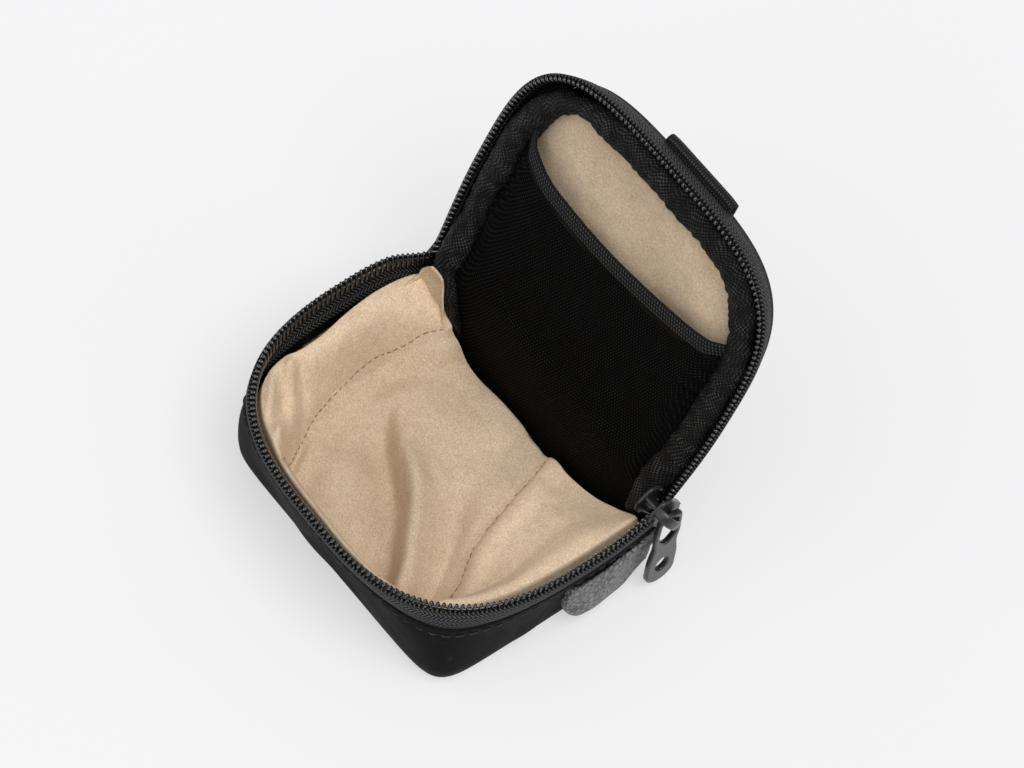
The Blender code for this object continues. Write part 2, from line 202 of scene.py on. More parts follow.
def sheet_uv(grid):
    """Millimetres along each row and down each column of a grid of points."""
    along = np.linalg.norm(np.diff(grid, axis=1), axis=2).mean(0)
    down = np.linalg.norm(np.diff(grid, axis=0), axis=2)
    u = np.concatenate(([0.0], np.cumsum(along)))
    v = np.vstack([np.zeros(grid.shape[1]), np.cumsum(down, axis=0)])
    return np.stack([np.broadcast_to(u, v.shape), v], axis=-1).reshape(-1, 2)


def grid_piece(name, grid, look, wrap_rows=False, wrap_columns=False, thick=None, flip=False):
    """A sheet from a grid of points, given a thickness if asked."""
    rows, columns, _ = grid.shape
    faces = grid_faces(rows, columns, wrap_rows, wrap_columns)
    if flip:
        faces = [face[::-1] for face in faces]
    obj = mesh_piece(name, grid.reshape(-1, 3), faces, look, sheet_uv(grid))
    if thick:
        solid = obj.modifiers.new("thickness", "SOLIDIFY")
        solid.thickness = thick * MM
        solid.offset = 0.0
    return obj


def join_meshes(pieces):
    """(points, faces) of several meshes put together."""
    points, faces = [], []
    for more_points, more_faces in pieces:
        start = sum(len(p) for p in points)
        points.append(np.asarray(more_points, float))
        faces += [tuple(start + i for i in face) for face in more_faces]
    return np.vstack(points), faces


def tube(path, radius, across, sides=8, closed_ends=True):
    """(points, faces) of a round tube. across is a vector for each point, off the tangent."""
    path = np.asarray(path, float)
    tangent = unit(np.gradient(path, axis=0))
    first = unit(across - tangent * (across * tangent).sum(1, keepdims=True))
    second = np.cross(tangent, first)
    radius = np.broadcast_to(radius, len(path))[:, None, None]
    turn = np.linspace(0.0, 2 * math.pi, sides, endpoint=False)[None, :, None]
    ring = np.cos(turn) * first[:, None] + np.sin(turn) * second[:, None]
    points = (path[:, None] + radius * ring).reshape(-1, 3)
    faces = grid_faces(len(path), sides, False, True)
    if closed_ends:
        faces.append(tuple(range(sides))[::-1])
        last = (len(path) - 1) * sides
        faces.append(tuple(range(last, last + sides)))
    return points, faces


def ripple(points, size, height, seed):
    """Smooth, repeatable unevenness: a sum of a few sine waves over the points."""
    rng = np.random.default_rng(seed)
    total = np.zeros(points.shape[:-1])
    for _ in range(7):
        wave = rng.normal(size=3)
        wave *= 2 * math.pi / (size * np.linalg.norm(wave)) * rng.uniform(0.7, 1.5)
        total += np.sin(points @ wave + rng.uniform(0, 2 * math.pi))
    return total * height / 2.6


# ---- materials ----


class Nodes:
    """A material's node tree, with short calls for the nodes that the looks use."""

    def __init__(self, name, colour, roughness, **settings):
        self.material = bpy.data.materials.new(name)
        self.material.use_nodes = True
        self.tree = self.material.node_tree
        self.shader = self.tree.nodes["Principled BSDF"]
        self.shader.inputs["Base Color"].default_value = (*colour, 1.0)
        self.shader.inputs["Roughness"].default_value = roughness
        for socket, value in settings.items():
            self.shader.inputs[socket.replace("_", " ")].default_value = value

    def add(self, kind, **inputs):
        node = self.tree.nodes.new("ShaderNode" + kind)
        for key, value in inputs.items():
            socket = node.inputs[key.replace("_", " ")]
            if isinstance(value, bpy.types.NodeSocket):
                self.tree.links.new(value, socket)
            else:
                socket.default_value = value
        return node

    def math(self, operation, a, b=0.0, c=0.0):
        node = self.tree.nodes.new("ShaderNodeMath")
        node.operation = operation
        for socket, value in zip(node.inputs, (a, b, c)):
            if isinstance(value, bpy.types.NodeSocket):
                self.tree.links.new(value, socket)
            else:
                socket.default_value = value
        return node.outputs[0]

    def cloth_uv(self):
        """The (u, v) sockets of the piece's own millimetres."""
        pair = self.add("UVMap")
        pair.uv_map = "cloth"
        split = self.add("SeparateXYZ", Vector=pair.outputs["UV"])
        return split.outputs["X"], split.outputs["Y"]

    def place(self):
        return self.add("TexCoord").outputs["Object"]

    def noise(self, scale, detail=3.0, roughness=0.5, vector=None):
        vector = vector or self.place()
        node = self.add("TexNoise", Vector=vector, Scale=scale, Detail=detail, Roughness=roughness)
        return node.outputs[0]

    def wave(self, value, period):
        """A sine of a value in millimetres, from 0 to 1."""
        turn = self.math("MULTIPLY", value, 2 * math.pi / period)
        return self.math("MULTIPLY_ADD", self.math("SINE", turn), 0.5, 0.5)

    def between(self, value, low, high, to_low, to_high):
        node = self.tree.nodes.new("ShaderNodeMapRange")
        self.tree.links.new(value, node.inputs["Value"])
        for key, number in (
            ("From Min", low),
            ("From Max", high),
            ("To Min", to_low),
            ("To Max", to_high),
        ):
            node.inputs[key].default_value = number
        return node.outputs[0]

    def colours(self, value, stops):
        """Colours from (position, colour) pairs along a value."""
        ramp = self.add("ValToRGB", Fac=value)
        elements = ramp.color_ramp.elements
        while len(elements) < len(stops):
            elements.new(0.5)
        for element, (position, colour) in zip(elements, stops):
            element.position = position
            element.color = (*colour, 1.0)
        return ramp.outputs["Color"]

    def use(self, colour=None, roughness=None, height=None, bump_mm=0.1, strength=1.0):
        links = self.tree.links
        if colour is not None:
            links.new(colour, self.shader.inputs["Base Color"])
        if roughness is not None:
            links.new(roughness, self.shader.inputs["Roughness"])
        if height is not None:
            node = self.add("Bump", Height=height, Distance=bump_mm * MM, Strength=strength)
            links.new(node.outputs["Normal"], self.shader.inputs["Normal"])
        return self.material


def grey(level):
    return (level, level, level * 1.03)


def nylon_look():
    """Tight matte weave with faint dusty mottling."""
    n = Nodes("fine_nylon", grey(0.006), 0.78, Specular_IOR_Level=0.1)
    u, v = n.cloth_uv()
    weave = n.math("MULTIPLY", n.wave(u, 0.42), n.wave(v, 0.42))
    mottle = n.noise(180.0, 4.0, 0.6)
    specks = n.noise(2600.0, 2.0, 0.5)
    level = n.math("ADD", n.math("MULTIPLY", mottle, 0.7), n.math("MULTIPLY", specks, 0.3))
    colour = n.colours(level, [(0.3, grey(0.0015)), (0.58, grey(0.005)), (0.75, grey(0.026))])
    rough = n.between(mottle, 0.3, 0.7, 0.62, 0.82)
    return n.use(colour, rough, n.math("ADD", weave, specks), 0.05, 0.5)


def plain_weave_look(name, period, dark, light, shine=0.15):
    """Coarse plain weave: raised threads that cross in a checkerboard."""
    n = Nodes(name, grey(dark), 0.5, Specular_IOR_Level=shine)
    u, v = n.cloth_uv()
    wobble = n.math("MULTIPLY", n.noise(900.0, 2.0), 0.25)
    first = n.wave(n.math("ADD", u, wobble), period)
    second = n.wave(n.math("ADD", v, wobble), period)
    over = n.math("MULTIPLY", first, second)
    under = n.math(
        "MULTIPLY", n.math("SUBTRACT", 1.0, first), n.math("SUBTRACT", 1.0, second)
    )
    threads = n.math("ADD", over, under)
    broad = n.noise(300.0, 3.0)
    level = n.math("MULTIPLY", threads, n.between(broad, 0.35, 0.65, 0.6, 1.1))
    colour = n.colours(
        level, [(0.35, grey(dark)), (0.68, grey((dark + light) / 5)), (0.98, grey(light))]
    )
    rough = n.between(threads, 0.0, 1.0, 0.75, 0.42)
    return n.use(colour, rough, threads, 0.2, 1.0)


def tape_look():
    """Zip tape: columns of slanting ribs that meet in chevrons."""
    n = Nodes("zip_tape", grey(0.02), 0.7, Specular_IOR_Level=0.2)
    u, v = n.cloth_uv()
    column = 1.45
    within = n.math("PINGPONG", v, column)
    slant = n.math("ADD", u, n.math("MULTIPLY", within, 0.95))
    ribs = n.wave(slant, 1.1)
    edge = n.wave(v, column)
    fuzz = n.noise(2400.0, 3.0, 0.65)
    raised = n.math("MULTIPLY", ribs, n.between(edge, 0.0, 1.0, 1.0, 0.72))
    level = n.math("ADD", n.math("MULTIPLY", raised, 0.7), n.math("MULTIPLY", fuzz, 0.35))
    colour = n.colours(level, [(0.25, grey(0.002)), (0.55, grey(0.012)), (0.85, grey(0.12))])
    return n.use(colour, n.between(fuzz, 0.3, 0.7, 0.5, 0.8), level, 0.45, 1.0)


def mesh_look():
    """Dark knit mesh: small raised loops in offset rows."""
    n = Nodes("mesh_knit", grey(0.002), 0.7, Specular_IOR_Level=0.06)
    u, v = n.cloth_uv()
    row = 0.85
    shift = n.math("MULTIPLY", n.math("FLOOR", n.math("DIVIDE", v, row)), row * 0.5)
    loops = n.math("MULTIPLY", n.wave(n.math("ADD", u, shift), row), n.wave(v, row))
    patchy = n.noise(220.0, 3.0)
    level = n.math("MULTIPLY", loops, n.between(patchy, 0.3, 0.7, 0.85, 1.02))
    colour = n.colours(level, [(0.3, grey(0.0006)), (0.65, grey(0.002)), (0.95, grey(0.026))])
    rough = n.between(loops, 0.0, 1.0, 0.85, 0.5)
    return n.use(colour, rough, loops, 0.2, 0.9)


def elastic_look():
    """Ribbed elastic: ribs square to its edge in two rows."""
    n = Nodes("ribbed_elastic", grey(0.008), 0.62, Specular_IOR_Level=0.15)
    u, v = n.cloth_uv()
    ribs = n.wave(n.math("ADD", u, n.math("MULTIPLY", v, 0.5)), 0.9)
    rows = n.wave(v, 0.95)
    fuzz = n.noise(2600.0, 2.0, 0.6)
    raised = n.math("MULTIPLY", ribs, n.between(rows, 0.0, 1.0, 0.35, 1.0))
    level = n.math("ADD", n.math("MULTIPLY", raised, 0.75), n.math("MULTIPLY", fuzz, 0.3))
    colour = n.colours(level, [(0.2, grey(0.0015)), (0.5, grey(0.009)), (0.88, grey(0.08))])
    return n.use(colour, n.between(fuzz, 0.3, 0.7, 0.55, 0.8), raised, 0.3, 1.0)


def webbing_look():
    """Narrow flat ribs with rows of small bright pips along the edges."""
    n = Nodes("webbing", grey(0.02), 0.6, Specular_IOR_Level=0.2)
    u, v = n.cloth_uv()
    pips = n.math("MULTIPLY", n.wave(u, 0.8), n.wave(v, 1.1))
    fuzz = n.noise(2400.0, 3.0, 0.6)
    level = n.math("ADD", n.math("MULTIPLY", pips, 0.75), n.math("MULTIPLY", fuzz, 0.25))
    colour = n.colours(level, [(0.25, grey(0.009)), (0.6, grey(0.02)), (0.92, grey(0.10))])
    return n.use(colour, n.between(fuzz, 0.3, 0.7, 0.55, 0.8), pips, 0.2, 0.9)


def lining_look(name, shade):
    """Brushed microfibre: soft nap with fine grain and faint cloudy brushing."""
    n = Nodes(
        name, (0.58, 0.46, 0.33), 0.92, Specular_IOR_Level=0.1, Sheen_Weight=0.05
    )
    n.shader.inputs["Sheen Tint"].default_value = (1.0, 0.9, 0.76, 1.0)
    grain = n.noise(2300.0, 3.0, 0.6)
    nap = n.noise(420.0, 4.0, 0.6)
    cloud = n.noise(70.0, 3.0, 0.5)
    level = n.math(
        "ADD",
        n.math("MULTIPLY", grain, 0.68),
        n.math("ADD", n.math("MULTIPLY", nap, 0.2), n.math("MULTIPLY", cloud, 0.12)),
    )
    tans = [(0.34, (0.51, 0.37, 0.245)), (0.5, (0.665, 0.51, 0.355)), (0.66, (0.82, 0.66, 0.49))]
    # The shade factor scales the whole tan ramp: the lining copies made with it are painted light and
    # shade.
    colour = n.colours(level, [(at, tuple(shade * c for c in tan)) for at, tan in tans])
    rough = n.between(nap, 0.3, 0.7, 0.85, 1.0)
    height = n.math("ADD", grain, n.math("MULTIPLY", nap, 1.4))
    return n.use(colour, rough, height, 0.10, 0.55)


def coil_look():
    """Glossy black monofilament, a little scuffed."""
    n = Nodes(
        "coil_nylon",
        grey(0.003),
        0.22,
        Specular_IOR_Level=0.6,
        Coat_Weight=1.0,
        Coat_Roughness=0.06,
    )
    scuff = n.noise(1500.0, 3.0, 0.6)
    colour = n.colours(scuff, [(0.3, grey(0.003)), (0.75, grey(0.008))])
    return n.use(colour, n.between(scuff, 0.3, 0.7, 0.1, 0.24), scuff, 0.03, 0.3)


def leather_look():
    """Pebbled leather: rounded grains between fine creases."""
    n = Nodes("pebbled_leather", grey(0.08), 0.4, Specular_IOR_Level=0.8)
    place = n.place()
    cells = n.add("TexVoronoi", Vector=place, Scale=620.0)
    cells.feature = "DISTANCE_TO_EDGE"
    creases = n.between(cells.outputs["Distance"], 0.0, 0.22, 0.0, 1.0)
    fine = n.noise(1800.0, 4.0, 0.6)
    height = n.math("ADD", creases, n.math("MULTIPLY", fine, 0.35))
    # The colour follows the same height: darker in the creases, as painted shade.
    colour = n.colours(
        height, [(0.2, grey(0.02)), (0.7, grey(0.10)), (1.0, grey(0.17))]
    )
    return n.use(colour, n.between(fine, 0.3, 0.7, 0.36, 0.58), height, 0.22, 0.9)


def metal_look():
    """Satin black coated metal with fine scuffs."""
    n = Nodes("coated_metal", grey(0.05), 0.3, Metallic=0.35, Specular_IOR_Level=0.7)
    fine = n.noise(1700.0, 4.0, 0.65)
    broad = n.noise(350.0, 2.0)
    level = n.math("ADD", n.math("MULTIPLY", fine, 0.5), n.math("MULTIPLY", broad, 0.5))
    colour = n.colours(level, [(0.3, grey(0.016)), (0.55, grey(0.03)), (0.78, grey(0.10))])
    return n.use(colour, n.between(level, 0.35, 0.65, 0.2, 0.36), fine, 0.02, 0.4)


def thread_look(name, dark, light):
    n = Nodes(name, light, 0.6, Specular_IOR_Level=0.15)
    twist = n.noise(2600.0, 2.0, 0.6)
    colour = n.colours(twist, [(0.35, dark), (0.65, light)])
    return n.use(colour, n.between(twist, 0.3, 0.7, 0.5, 0.75), twist, 0.06, 0.6)


NYLON = nylon_look()
ROLL_NYLON = plain_weave_look("roll_nylon", 1.15, 0.0005, 0.06, 0.16)
TAPE = tape_look()
MESH = mesh_look()
ELASTIC = elastic_look()
HEM = plain_weave_look("pocket_hem_knit", 0.8, 0.0015, 0.02, 0.08)
WEBBING = webbing_look()
# The next tan is darker all over: painted shade for the lid lining and the corner flap.
LINING_PAINTED_SHADE = lining_look("tan_microfibre", 0.89)
# The floor tan is darker and the side tan lighter: painted shade on the bag's floor, painted light on
# its side walls.
LINING_FLOOR_PAINTED_SHADE = lining_look("tan_microfibre_floor", 0.86)
LINING_SIDE_PAINTED_LIGHT = lining_look("tan_microfibre_side", 1.07)
COIL = coil_look()
LEATHER = leather_look()
METAL = metal_look()
BLACK_THREAD = thread_look("black_thread", grey(0.012), grey(0.06))
# Dark tan thread: the stitches are real, and their darkness is partly painted shade of the seam
# creases.
TAN_THREAD_AND_SEAM_SHADE = thread_look("tan_thread_and_seam_shade", (0.17, 0.105, 0.06), (0.30, 0.19, 0.11))


# ---- outlines ----

SIDE_POINTS = 26
ARC_POINTS = 148


def superellipse(half, reach, power):
    """Evenly spaced points of half a superellipse, from (half, 0) round to (-half, 0)."""
    turn = np.linspace(0.0, math.pi, 900)
    cos, sin = np.cos(turn), np.sin(turn)
    x = half * np.sign(cos) * np.abs(cos) ** (2.0 / power)
    y = reach * np.abs(sin) ** (2.0 / power)
    return resample(np.stack([x, y], 1), ARC_POINTS)


def u_outline(half, reach, power, side, rear_right, rear_left):
    """A U from its rear right end round to its rear left end. Each side runs back for side
    millimetres from the widest point, and narrows to its own rear half width."""
    share = np.linspace(1.0, 0.0, SIDE_POINTS, endpoint=False)
    right = np.stack([half - (half - rear_right) * share**2, side * share], 1)
    left = np.stack([-half + (half - rear_left) * share**2, side * share], 1)
    arc = superellipse(half, reach, power) * (1.0, -1.0)
    return np.vstack([right, arc, left[::-1]])


def body_outline(height, inset=0.0, rear=REAR_Y - REAR_CORNER):
    """The body's plan outline at a height: square-cornered at the base, rounded at the rim."""
    share = height / RIM_Z
    ease = 0.6 * share + 0.4 * share**2
    side = rear - BELLY_Y
    base = u_outline(
        BASE_HALF - inset,
        BELLY_Y + BASE_FRONT - inset,
        11.0,
        side,
        BASE_HALF - inset,
        BASE_HALF - inset,
    )
    rim = u_outline(
        RIM_HALF - inset,
        BELLY_Y + RIM_FRONT - inset,
        2.85,
        side,
        RIM_REAR_RIGHT - inset,
        RIM_REAR_LEFT - inset,
    )
    plan = base + (rim - base) * ease
    plan[:, 1] += BELLY_Y
    return plan


def closed_behind(plan, radius, reach):
    """A U outline with its rear corners rounded, over reach along y, and its rear closed."""
    turn = np.linspace(0.0, math.pi / 2, 7)[1:]
    bends = []
    for side, end in ((-1, plan[-1]), (1, plan[0])):
        bend = np.tile(end, (len(turn), 1))
        bend[:, 0] -= side * radius * (1.0 - np.cos(turn))
        bend[:, 1] += reach * np.sin(turn)
        bends.append(bend)
    left, right = bends[0], bends[1][::-1]
    between = np.linspace(left[-1], right[0], 40)[1:-1]
    return np.vstack([plan, left, between, right])


def closed_body_outline(height, inset=0.0):
    """The body's outline with its rear and rear corners, closed."""
    plan = body_outline(height, inset)
    return closed_behind(plan, max(REAR_CORNER - inset, 0.6), REAR_Y - inset - plan[0, 1])


def drop_at_left_end(plan):
    """How far the rim sinks where the zip turns up into the lid at the rear left."""
    return 3.4 * smoothstep(22.0, 33.5, plan[:, 1]) * (plan[:, 0] < 0)


def at_height(plan, height):
    return np.column_stack([plan, np.broadcast_to(height, len(plan))])


def lid_outline(inset=0.0, depth=0.0, start=0.0, side_inset=None):
    """The lid's outline in its own plane, from its rear right end to its rear left end."""
    across = inset if side_inset is None else side_inset
    plan = u_outline(
        LID_HALF - across,
        LID_LENGTH - LID_BELLY - inset,
        3.5,
        LID_BELLY - start,
        LID_REAR_HALF - across,
        LID_REAR_HALF - across,
    )
    plan[:, 1] = LID_BELLY - plan[:, 1]
    return np.column_stack([plan, np.full(len(plan), depth)])


def inwards(path, up):
    """The sideways unit vector of a U path that points into the U."""
    tangent = unit(np.gradient(path, axis=0))
    return unit(np.cross(up, tangent))


# ---- zip ----


def coil_piece(name, edge, inward, down, head):
    """One half of the zip's coil: a flattened helix along the tape's edge, on its inner face."""
    steps = 16
    lengths = lengths_along(edge)
    turns = int((lengths[-1] - 0.5) / COIL_PITCH)
    run = np.arange(turns * steps + 1) / steps * COIL_PITCH + 0.25
    turn = run / COIL_PITCH * 2 * math.pi

    def follow(values):
        return np.stack([np.interp(run, lengths, values[:, i]) for i in range(3)], 1)

    at, side, below = follow(edge), unit(follow(inward)), unit(follow(down))
    reach, depth = 1.85, 0.52
    lean = np.sin(turn)
    radial = below * (reach * np.cos(turn))[:, None] + side * (depth * lean)[:, None]
    middle = at + below * (head + reach) + side * (TAPE_HALF_THICK + 0.32 + depth)
    radius = 0.36 + 0.07 * smoothstep(0.6, 1.0, -np.cos(turn))
    helix = tube(middle + radial, radius, radial, 7)
    core = tube(middle[::8] + below[::8] * 0.2, 0.42, side[::8], 6)
    points, faces = join_meshes([helix, core])
    return mesh_piece(name, points, faces, COIL)


def strip(upper, lower, rows, bulge, outward):
    """A grid between two edges that bows outwards in the middle."""
    share = np.linspace(0.0, 1.0, rows)[:, None, None]
    grid = upper[None] * (1 - share) + lower[None] * share
    return grid + outward[None] * (bulge * np.sin(math.pi * share))


def stitches(path, normal, length, gap, radius, sink=0.35):
    """(points, faces) of a row of short thread stitches that dip in at both ends."""
    lengths = lengths_along(path)
    made = []
    start = gap
    while start + length < lengths[-1]:
        at = np.linspace(start, start + length, 7)
        centre = np.stack([np.interp(at, lengths, path[:, i]) for i in range(3)], 1)
        out = unit(np.stack([np.interp(at, lengths, normal[:, i]) for i in range(3)], 1))
        arch = np.sin(np.linspace(0.0, math.pi, 7)) ** 0.6
        centre = centre + out * (radius * (arch - sink))[:, None]
        made.append(tube(centre, radius * (0.55 + 0.45 * arch), out, 6))
        start += length + gap
    return join_meshes(made)


UP = np.array((0.0, 0.0, 1.0))


def make_body_zip():
    rear = REAR_Y - 0.4
    rim = body_outline(RIM_Z, 0.0, rear)
    drop = drop_at_left_end(rim)
    edge = at_height(rim, RIM_Z - drop)
    seam_plan = body_outline(SEAM_Z - 1.0, 0.5, rear)
    seam = at_height(seam_plan, SEAM_Z - 1.0 - drop * 0.6)
    inward = -inwards(edge, UP)
    inward *= np.sign((inward[:, :2] * (np.array((0.0, 8.0)) - rim)).sum(1))[:, None]
    tape = grid_piece("body_tape", strip(edge, seam, 12, 0.5, -inward), TAPE, thick=0.7)
    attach(tape, "pouch_body")
    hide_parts("body_zip_tape")
    coil = coil_piece("body_coil", edge, inward, unit(seam - edge), -1.8)
    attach(coil, "pouch_body")
    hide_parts("body_zip_coil")
    return inward


def across_hinge(piece, low, high):
    """Bakes the piece's placement into its mesh."""
    start, end = (lid_to_world((0.0, s, 0.0)) * MM for s in (low, high))
    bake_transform(piece)


def zip_turned_down(path, right, left):
    """The lid's zip path with its two ends led down past the hinge to meet the body's zip."""
    ends = [spline([path[12], path[6], *right[::-1]], 20)[::-1][:-1]]
    ends.append(path[13:-13])
    ends.append(spline([path[-13], path[-7], *left], 20)[1:])
    return np.vstack(ends)


def make_lid_zip():
    edge = lid_outline(0.0, 0.65, 4.0)
    edge = zip_turned_down(
        edge,
        [(45.6, -3.6, -1.0), (46.2, -0.5, 0.35)],
        [(-46.2, 0.8, 0.5), (-45.9, -2.0, -0.3), (-45.6, -4.4, -1.9)],
    )
    seam = lid_outline(LID_SEAM_INSET, LID_TAPE_DEPTH, 4.0, LID_SIDE_LEAN)
    seam = zip_turned_down(
        seam,
        [(44.0, -1.0, 2.4), (43.0, 0.8, 5.0)],
        [(-43.4, 1.6, 5.6), (-44.2, -0.5, 3.0), (-44.6, -3.2, 0.6)],
    )
    count = 560
    edge, seam = lid_to_world(resample(edge, count)), lid_to_world(resample(seam, count))
    centre = lid_to_world((0.0, LID_BELLY, 0.65))
    inward = inwards(edge, OUT_OF_LID)
    inward *= np.sign((inward * (centre - edge)).sum(1))[:, None]
    tape = grid_piece("lid_tape", strip(edge, seam, 12, 0.5, -inward), TAPE, thick=0.7)
    across_hinge(tape, -4.5, 2.0)
    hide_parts("lid_zip_tape")
    coil = coil_piece("lid_coil", edge, inward, unit(seam - edge), -0.85)
    across_hinge(coil, -4.5, 2.0)
    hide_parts("lid_zip_coil")


# ---- body ----


def make_shell():
    """The outer nylon of the body: walls and rear in one band, rolled in at the top seam."""
    levels = [(0.0, 1.6), (0.15, 0.7), (0.6, 0.2), (1.3, 0.0)]
    levels += [(z, 0.0) for z in np.linspace(2.5, SEAM_Z - 0.8, 26)]
    levels += [(SEAM_Z - 0.3, 0.02), (SEAM_Z, 0.25), (SEAM_Z + 0.05, 0.6), (SEAM_Z - 0.4, 0.9)]
    rows = []
    for z, inset in levels:
        plan = closed_body_outline(z, inset - 0.55 * smoothstep(0.0, 5.0, z))
        drop = np.zeros(len(plan))
        ends = len(body_outline(0.0))
        drop[:ends] = drop_at_left_end(plan[:ends]) * 0.6 * smoothstep(10.0, SEAM_Z, z)
        drop[ends:] = drop[ends - 1] * np.linspace(1.0, 0.0, len(plan) - ends)
        rows.append(at_height(plan, z - drop))
    grid = np.array(rows)
    away = unit(grid * (1.0, 1.0, 0.0) - (0.0, 6.0, 0.0))
    height = grid[..., 2]
    calm = smoothstep(0.5, 7.0, height) * smoothstep(SEAM_Z, SEAM_Z - 5.0, height)
    grid += away * (ripple(grid, 26.0, 0.55, 5) * calm)[..., None]
    shell = grid_piece("body_shell", grid, NYLON, wrap_columns=True)
    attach(shell, "pouch_body")
    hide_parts("wall_shell", "wall_foam", "rear_panel", "rear_foam")

    rim = closed_body_outline(0.0, 1.6)
    middle = rim.mean(0)
    shares = np.linspace(0.0, 1.0, 14)[:-1]
    rows = [at_height(rim + (middle - rim) * s, 0.0 + 0.5 * s * (1 - s)) for s in shares]
    base = grid_piece("base_fabric", np.array(rows), NYLON, wrap_columns=True)
    last = (len(shares) - 1) * len(rim)
    fill_end(base, range(last, last + len(rim)))
    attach(base, "pouch_body")
    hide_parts("base_panel", "base_foam")


def fill_end(obj, ring):
    """Closes a ring of a mesh's points with one face."""
    shape = bmesh.new()
    shape.from_mesh(obj.data)
    shape.verts.ensure_lookup_table()
    shape.faces.new([shape.verts[i] for i in ring])
    shape.to_mesh(obj.data)
    shape.free()


def close_tube(piece, sides, length):
    """Closes both ends of a tube made from a grid with a row for each side."""
    for column in (0, length - 1):
        fill_end(piece, [i * length + column for i in range(sides)])


def make_body_stitches(inward):
    plan = body_outline(SEAM_Z - 2.4, -0.62, REAR_Y - 0.4)
    path = at_height(plan, SEAM_Z - 2.4 - drop_at_left_end(plan) * 0.55)
    points, faces = stitches(path, -inward, 2.5, 0.9, 0.19)
    row = mesh_piece("body_topstitch", points, faces, BLACK_THREAD)
    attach(row, "pouch_body")


# Plan positions on the lining, in millimetres. Most of these points, and of POCKET_EDGE, are
# what a scratch program printed for places in the photo seen through the fitted camera,
# unchanged or moved by a millimetre or so.
BAG_TOP = [
    (43.0, 30.4), (43.4, 23.0), (43.7, 13.0), (43.3, 3.0), (42.2, -8.0), (39.7, -17.0),
    (35.4, -25.0), (28.0, -30.2), (20.0, -32.4), (9.4, -33.4), (-2.6, -33.2), (-14.7, -32.6),
    (-23.6, -30.8), (-31.9, -27.7), (-37.9, -23.6), (-41.0, -18.9), (-42.2, -13.3),
    (-41.6, -9.0), (-41.9, -2.3), (-43.8, 8.2), (-44.6, 17.9), (-44.2, 26.0), (-42.4, 30.4),
]
LEFT_SEAM = [
    (-30.6, 29.5), (-33.6, 22.0), (-36.0, 11.0), (-34.2, -2.5), (-31.6, -11.4), (-25.8, -22.1),
    (-21.0, -30.0),
]
RIGHT_SEAM = [
    (10.4, 30.6), (12.3, 26.0), (16.6, 13.7), (21.4, -1.0), (27.4, -10.4), (30.5, -17.4),
    (33.6, -25.5),
]
DEEP_FOLD = [
    (-25.5, 8.6), (-20.2, 2.6), (-13.8, -1.2), (-7.2, -4.4), (0.0, -9.0), (6.3, -15.0),
    (12.4, -21.0), (18.5, -29.0),
]
SOFT_FOLD = [(0.7, 8.9), (7.6, 5.2), (13.0, -1.8), (18.8, -8.4), (25.0, -19.0)]
SIDE_TUCK = [(-44.0, -12.0), (-37.0, -14.9), (-30.1, -20.1), (-25.5, -28.0)]
REAR_EDGE = [
    (-42.4, 25.6), (-34.3, 19.9), (-27.7, 14.0), (-23.1, 8.6), (-16.5, 7.8), (-8.7, 9.6),
    (-0.9, 9.8), (3.0, 8.0), (7.0, 7.7), (10.2, 8.7), (17.6, 10.7), (27.1, 13.8), (34.9, 19.4),
    (42.6, 26.0),
]


def signed_distance(plan, curve):
    """Distance from a curve in plan, positive on its left as it runs, and the share along."""
    start, end = curve[:-1], curve[1:]
    step = end - start
    offset = plan[..., None, :] - start
    share = np.clip((offset * step).sum(-1) / (step**2).sum(-1), 0.0, 1.0)
    gap = offset - share[..., None] * step
    distance = np.linalg.norm(gap, axis=-1)
    nearest = distance.argmin(-1)
    pick = np.take_along_axis(distance, nearest[..., None], -1)[..., 0]
    cross = step[..., 0] * offset[..., 1] - step[..., 1] * offset[..., 0]
    side = np.sign(np.take_along_axis(cross, nearest[..., None], -1)[..., 0])
    return pick * side, (nearest + 0.5) / len(start)


def lining_height(plan, from_rim):
    """The height of the loose lining over the floor, folds and seams included."""
    x, y = plan[..., 0], plan[..., 1]
    left, _ = signed_distance(plan, spline(LEFT_SEAM, 70))
    left = -left
    right, _ = signed_distance(plan, spline(RIGHT_SEAM, 70))
    fold, along = signed_distance(plan, spline(DEEP_FOLD, 80))
    starts = smoothstep(0.0, 0.22, along)
    far = np.abs(fold)
    basin = np.where(
        fold < 0,
        0.5 * np.exp(-((far / 13.0) ** 2)) + 0.5 * np.exp(-((far / 6.0) ** 2)),
        np.exp(-((far / 2.3) ** 2.2)),
    )
    crest = bump(fold - 4.2, 3.8) * smoothstep(0.1, 0.5, along)
    soft, soft_along = signed_distance(plan, spline(SOFT_FOLD, 50))
    soft_fold = -3.0 * bump(soft, 4.0) * smoothstep(0.0, 0.35, soft_along)
    floor = 11.4 - 8.6 * basin * starts + 3.6 * crest + soft_fold
    floor = floor - 2.6 * bump(left + 5.5, 4.5) + 1.4 * smoothstep(-14.0, -2.0, right)
    floor = floor - 2.2 * bump(right + 5.0, 3.2) * smoothstep(4.0, -8.0, y)
    climb = 1.0 - smoothstep(0.0, 1.0, from_rim / (7.0 + 4.0 * smoothstep(-6.0, 14.0, y)))
    height = floor + (LINING_TOP - floor) * climb
    for side, power in ((left, 0.72), (right, 1.15)):
        beyond = np.maximum(side, 0.0)
        share = beyond / (beyond + from_rim + 1e-6)
        height = height + (LINING_TOP - height) * share**power
    near_rear = smoothstep(17.0, 1.0, 30.6 - y)
    rear = spline(REAR_EDGE, 120)
    height = height + (np.interp(x, rear[:, 0], rear[:, 1]) - height) * near_rear
    for side in (left, right):
        height = height + 1.3 * bump(side - 2.6, 2.6) - 1.0 * bump(side + 1.4, 1.6)
        height = height - 0.9 * np.exp(-np.abs(side) / 0.4)
    tuck, _ = signed_distance(plan, spline(SIDE_TUCK, 40))
    calm = smoothstep(0.0, 3.0, from_rim)
    height = height + calm * (1.9 * bump(tuck, 1.6) - 1.9 * bump(tuck - 3.0, 1.6))
    return height + calm * (1.3 * bump(tuck + 6.0, 2.0) - 1.2 * bump(tuck + 3.2, 1.6))


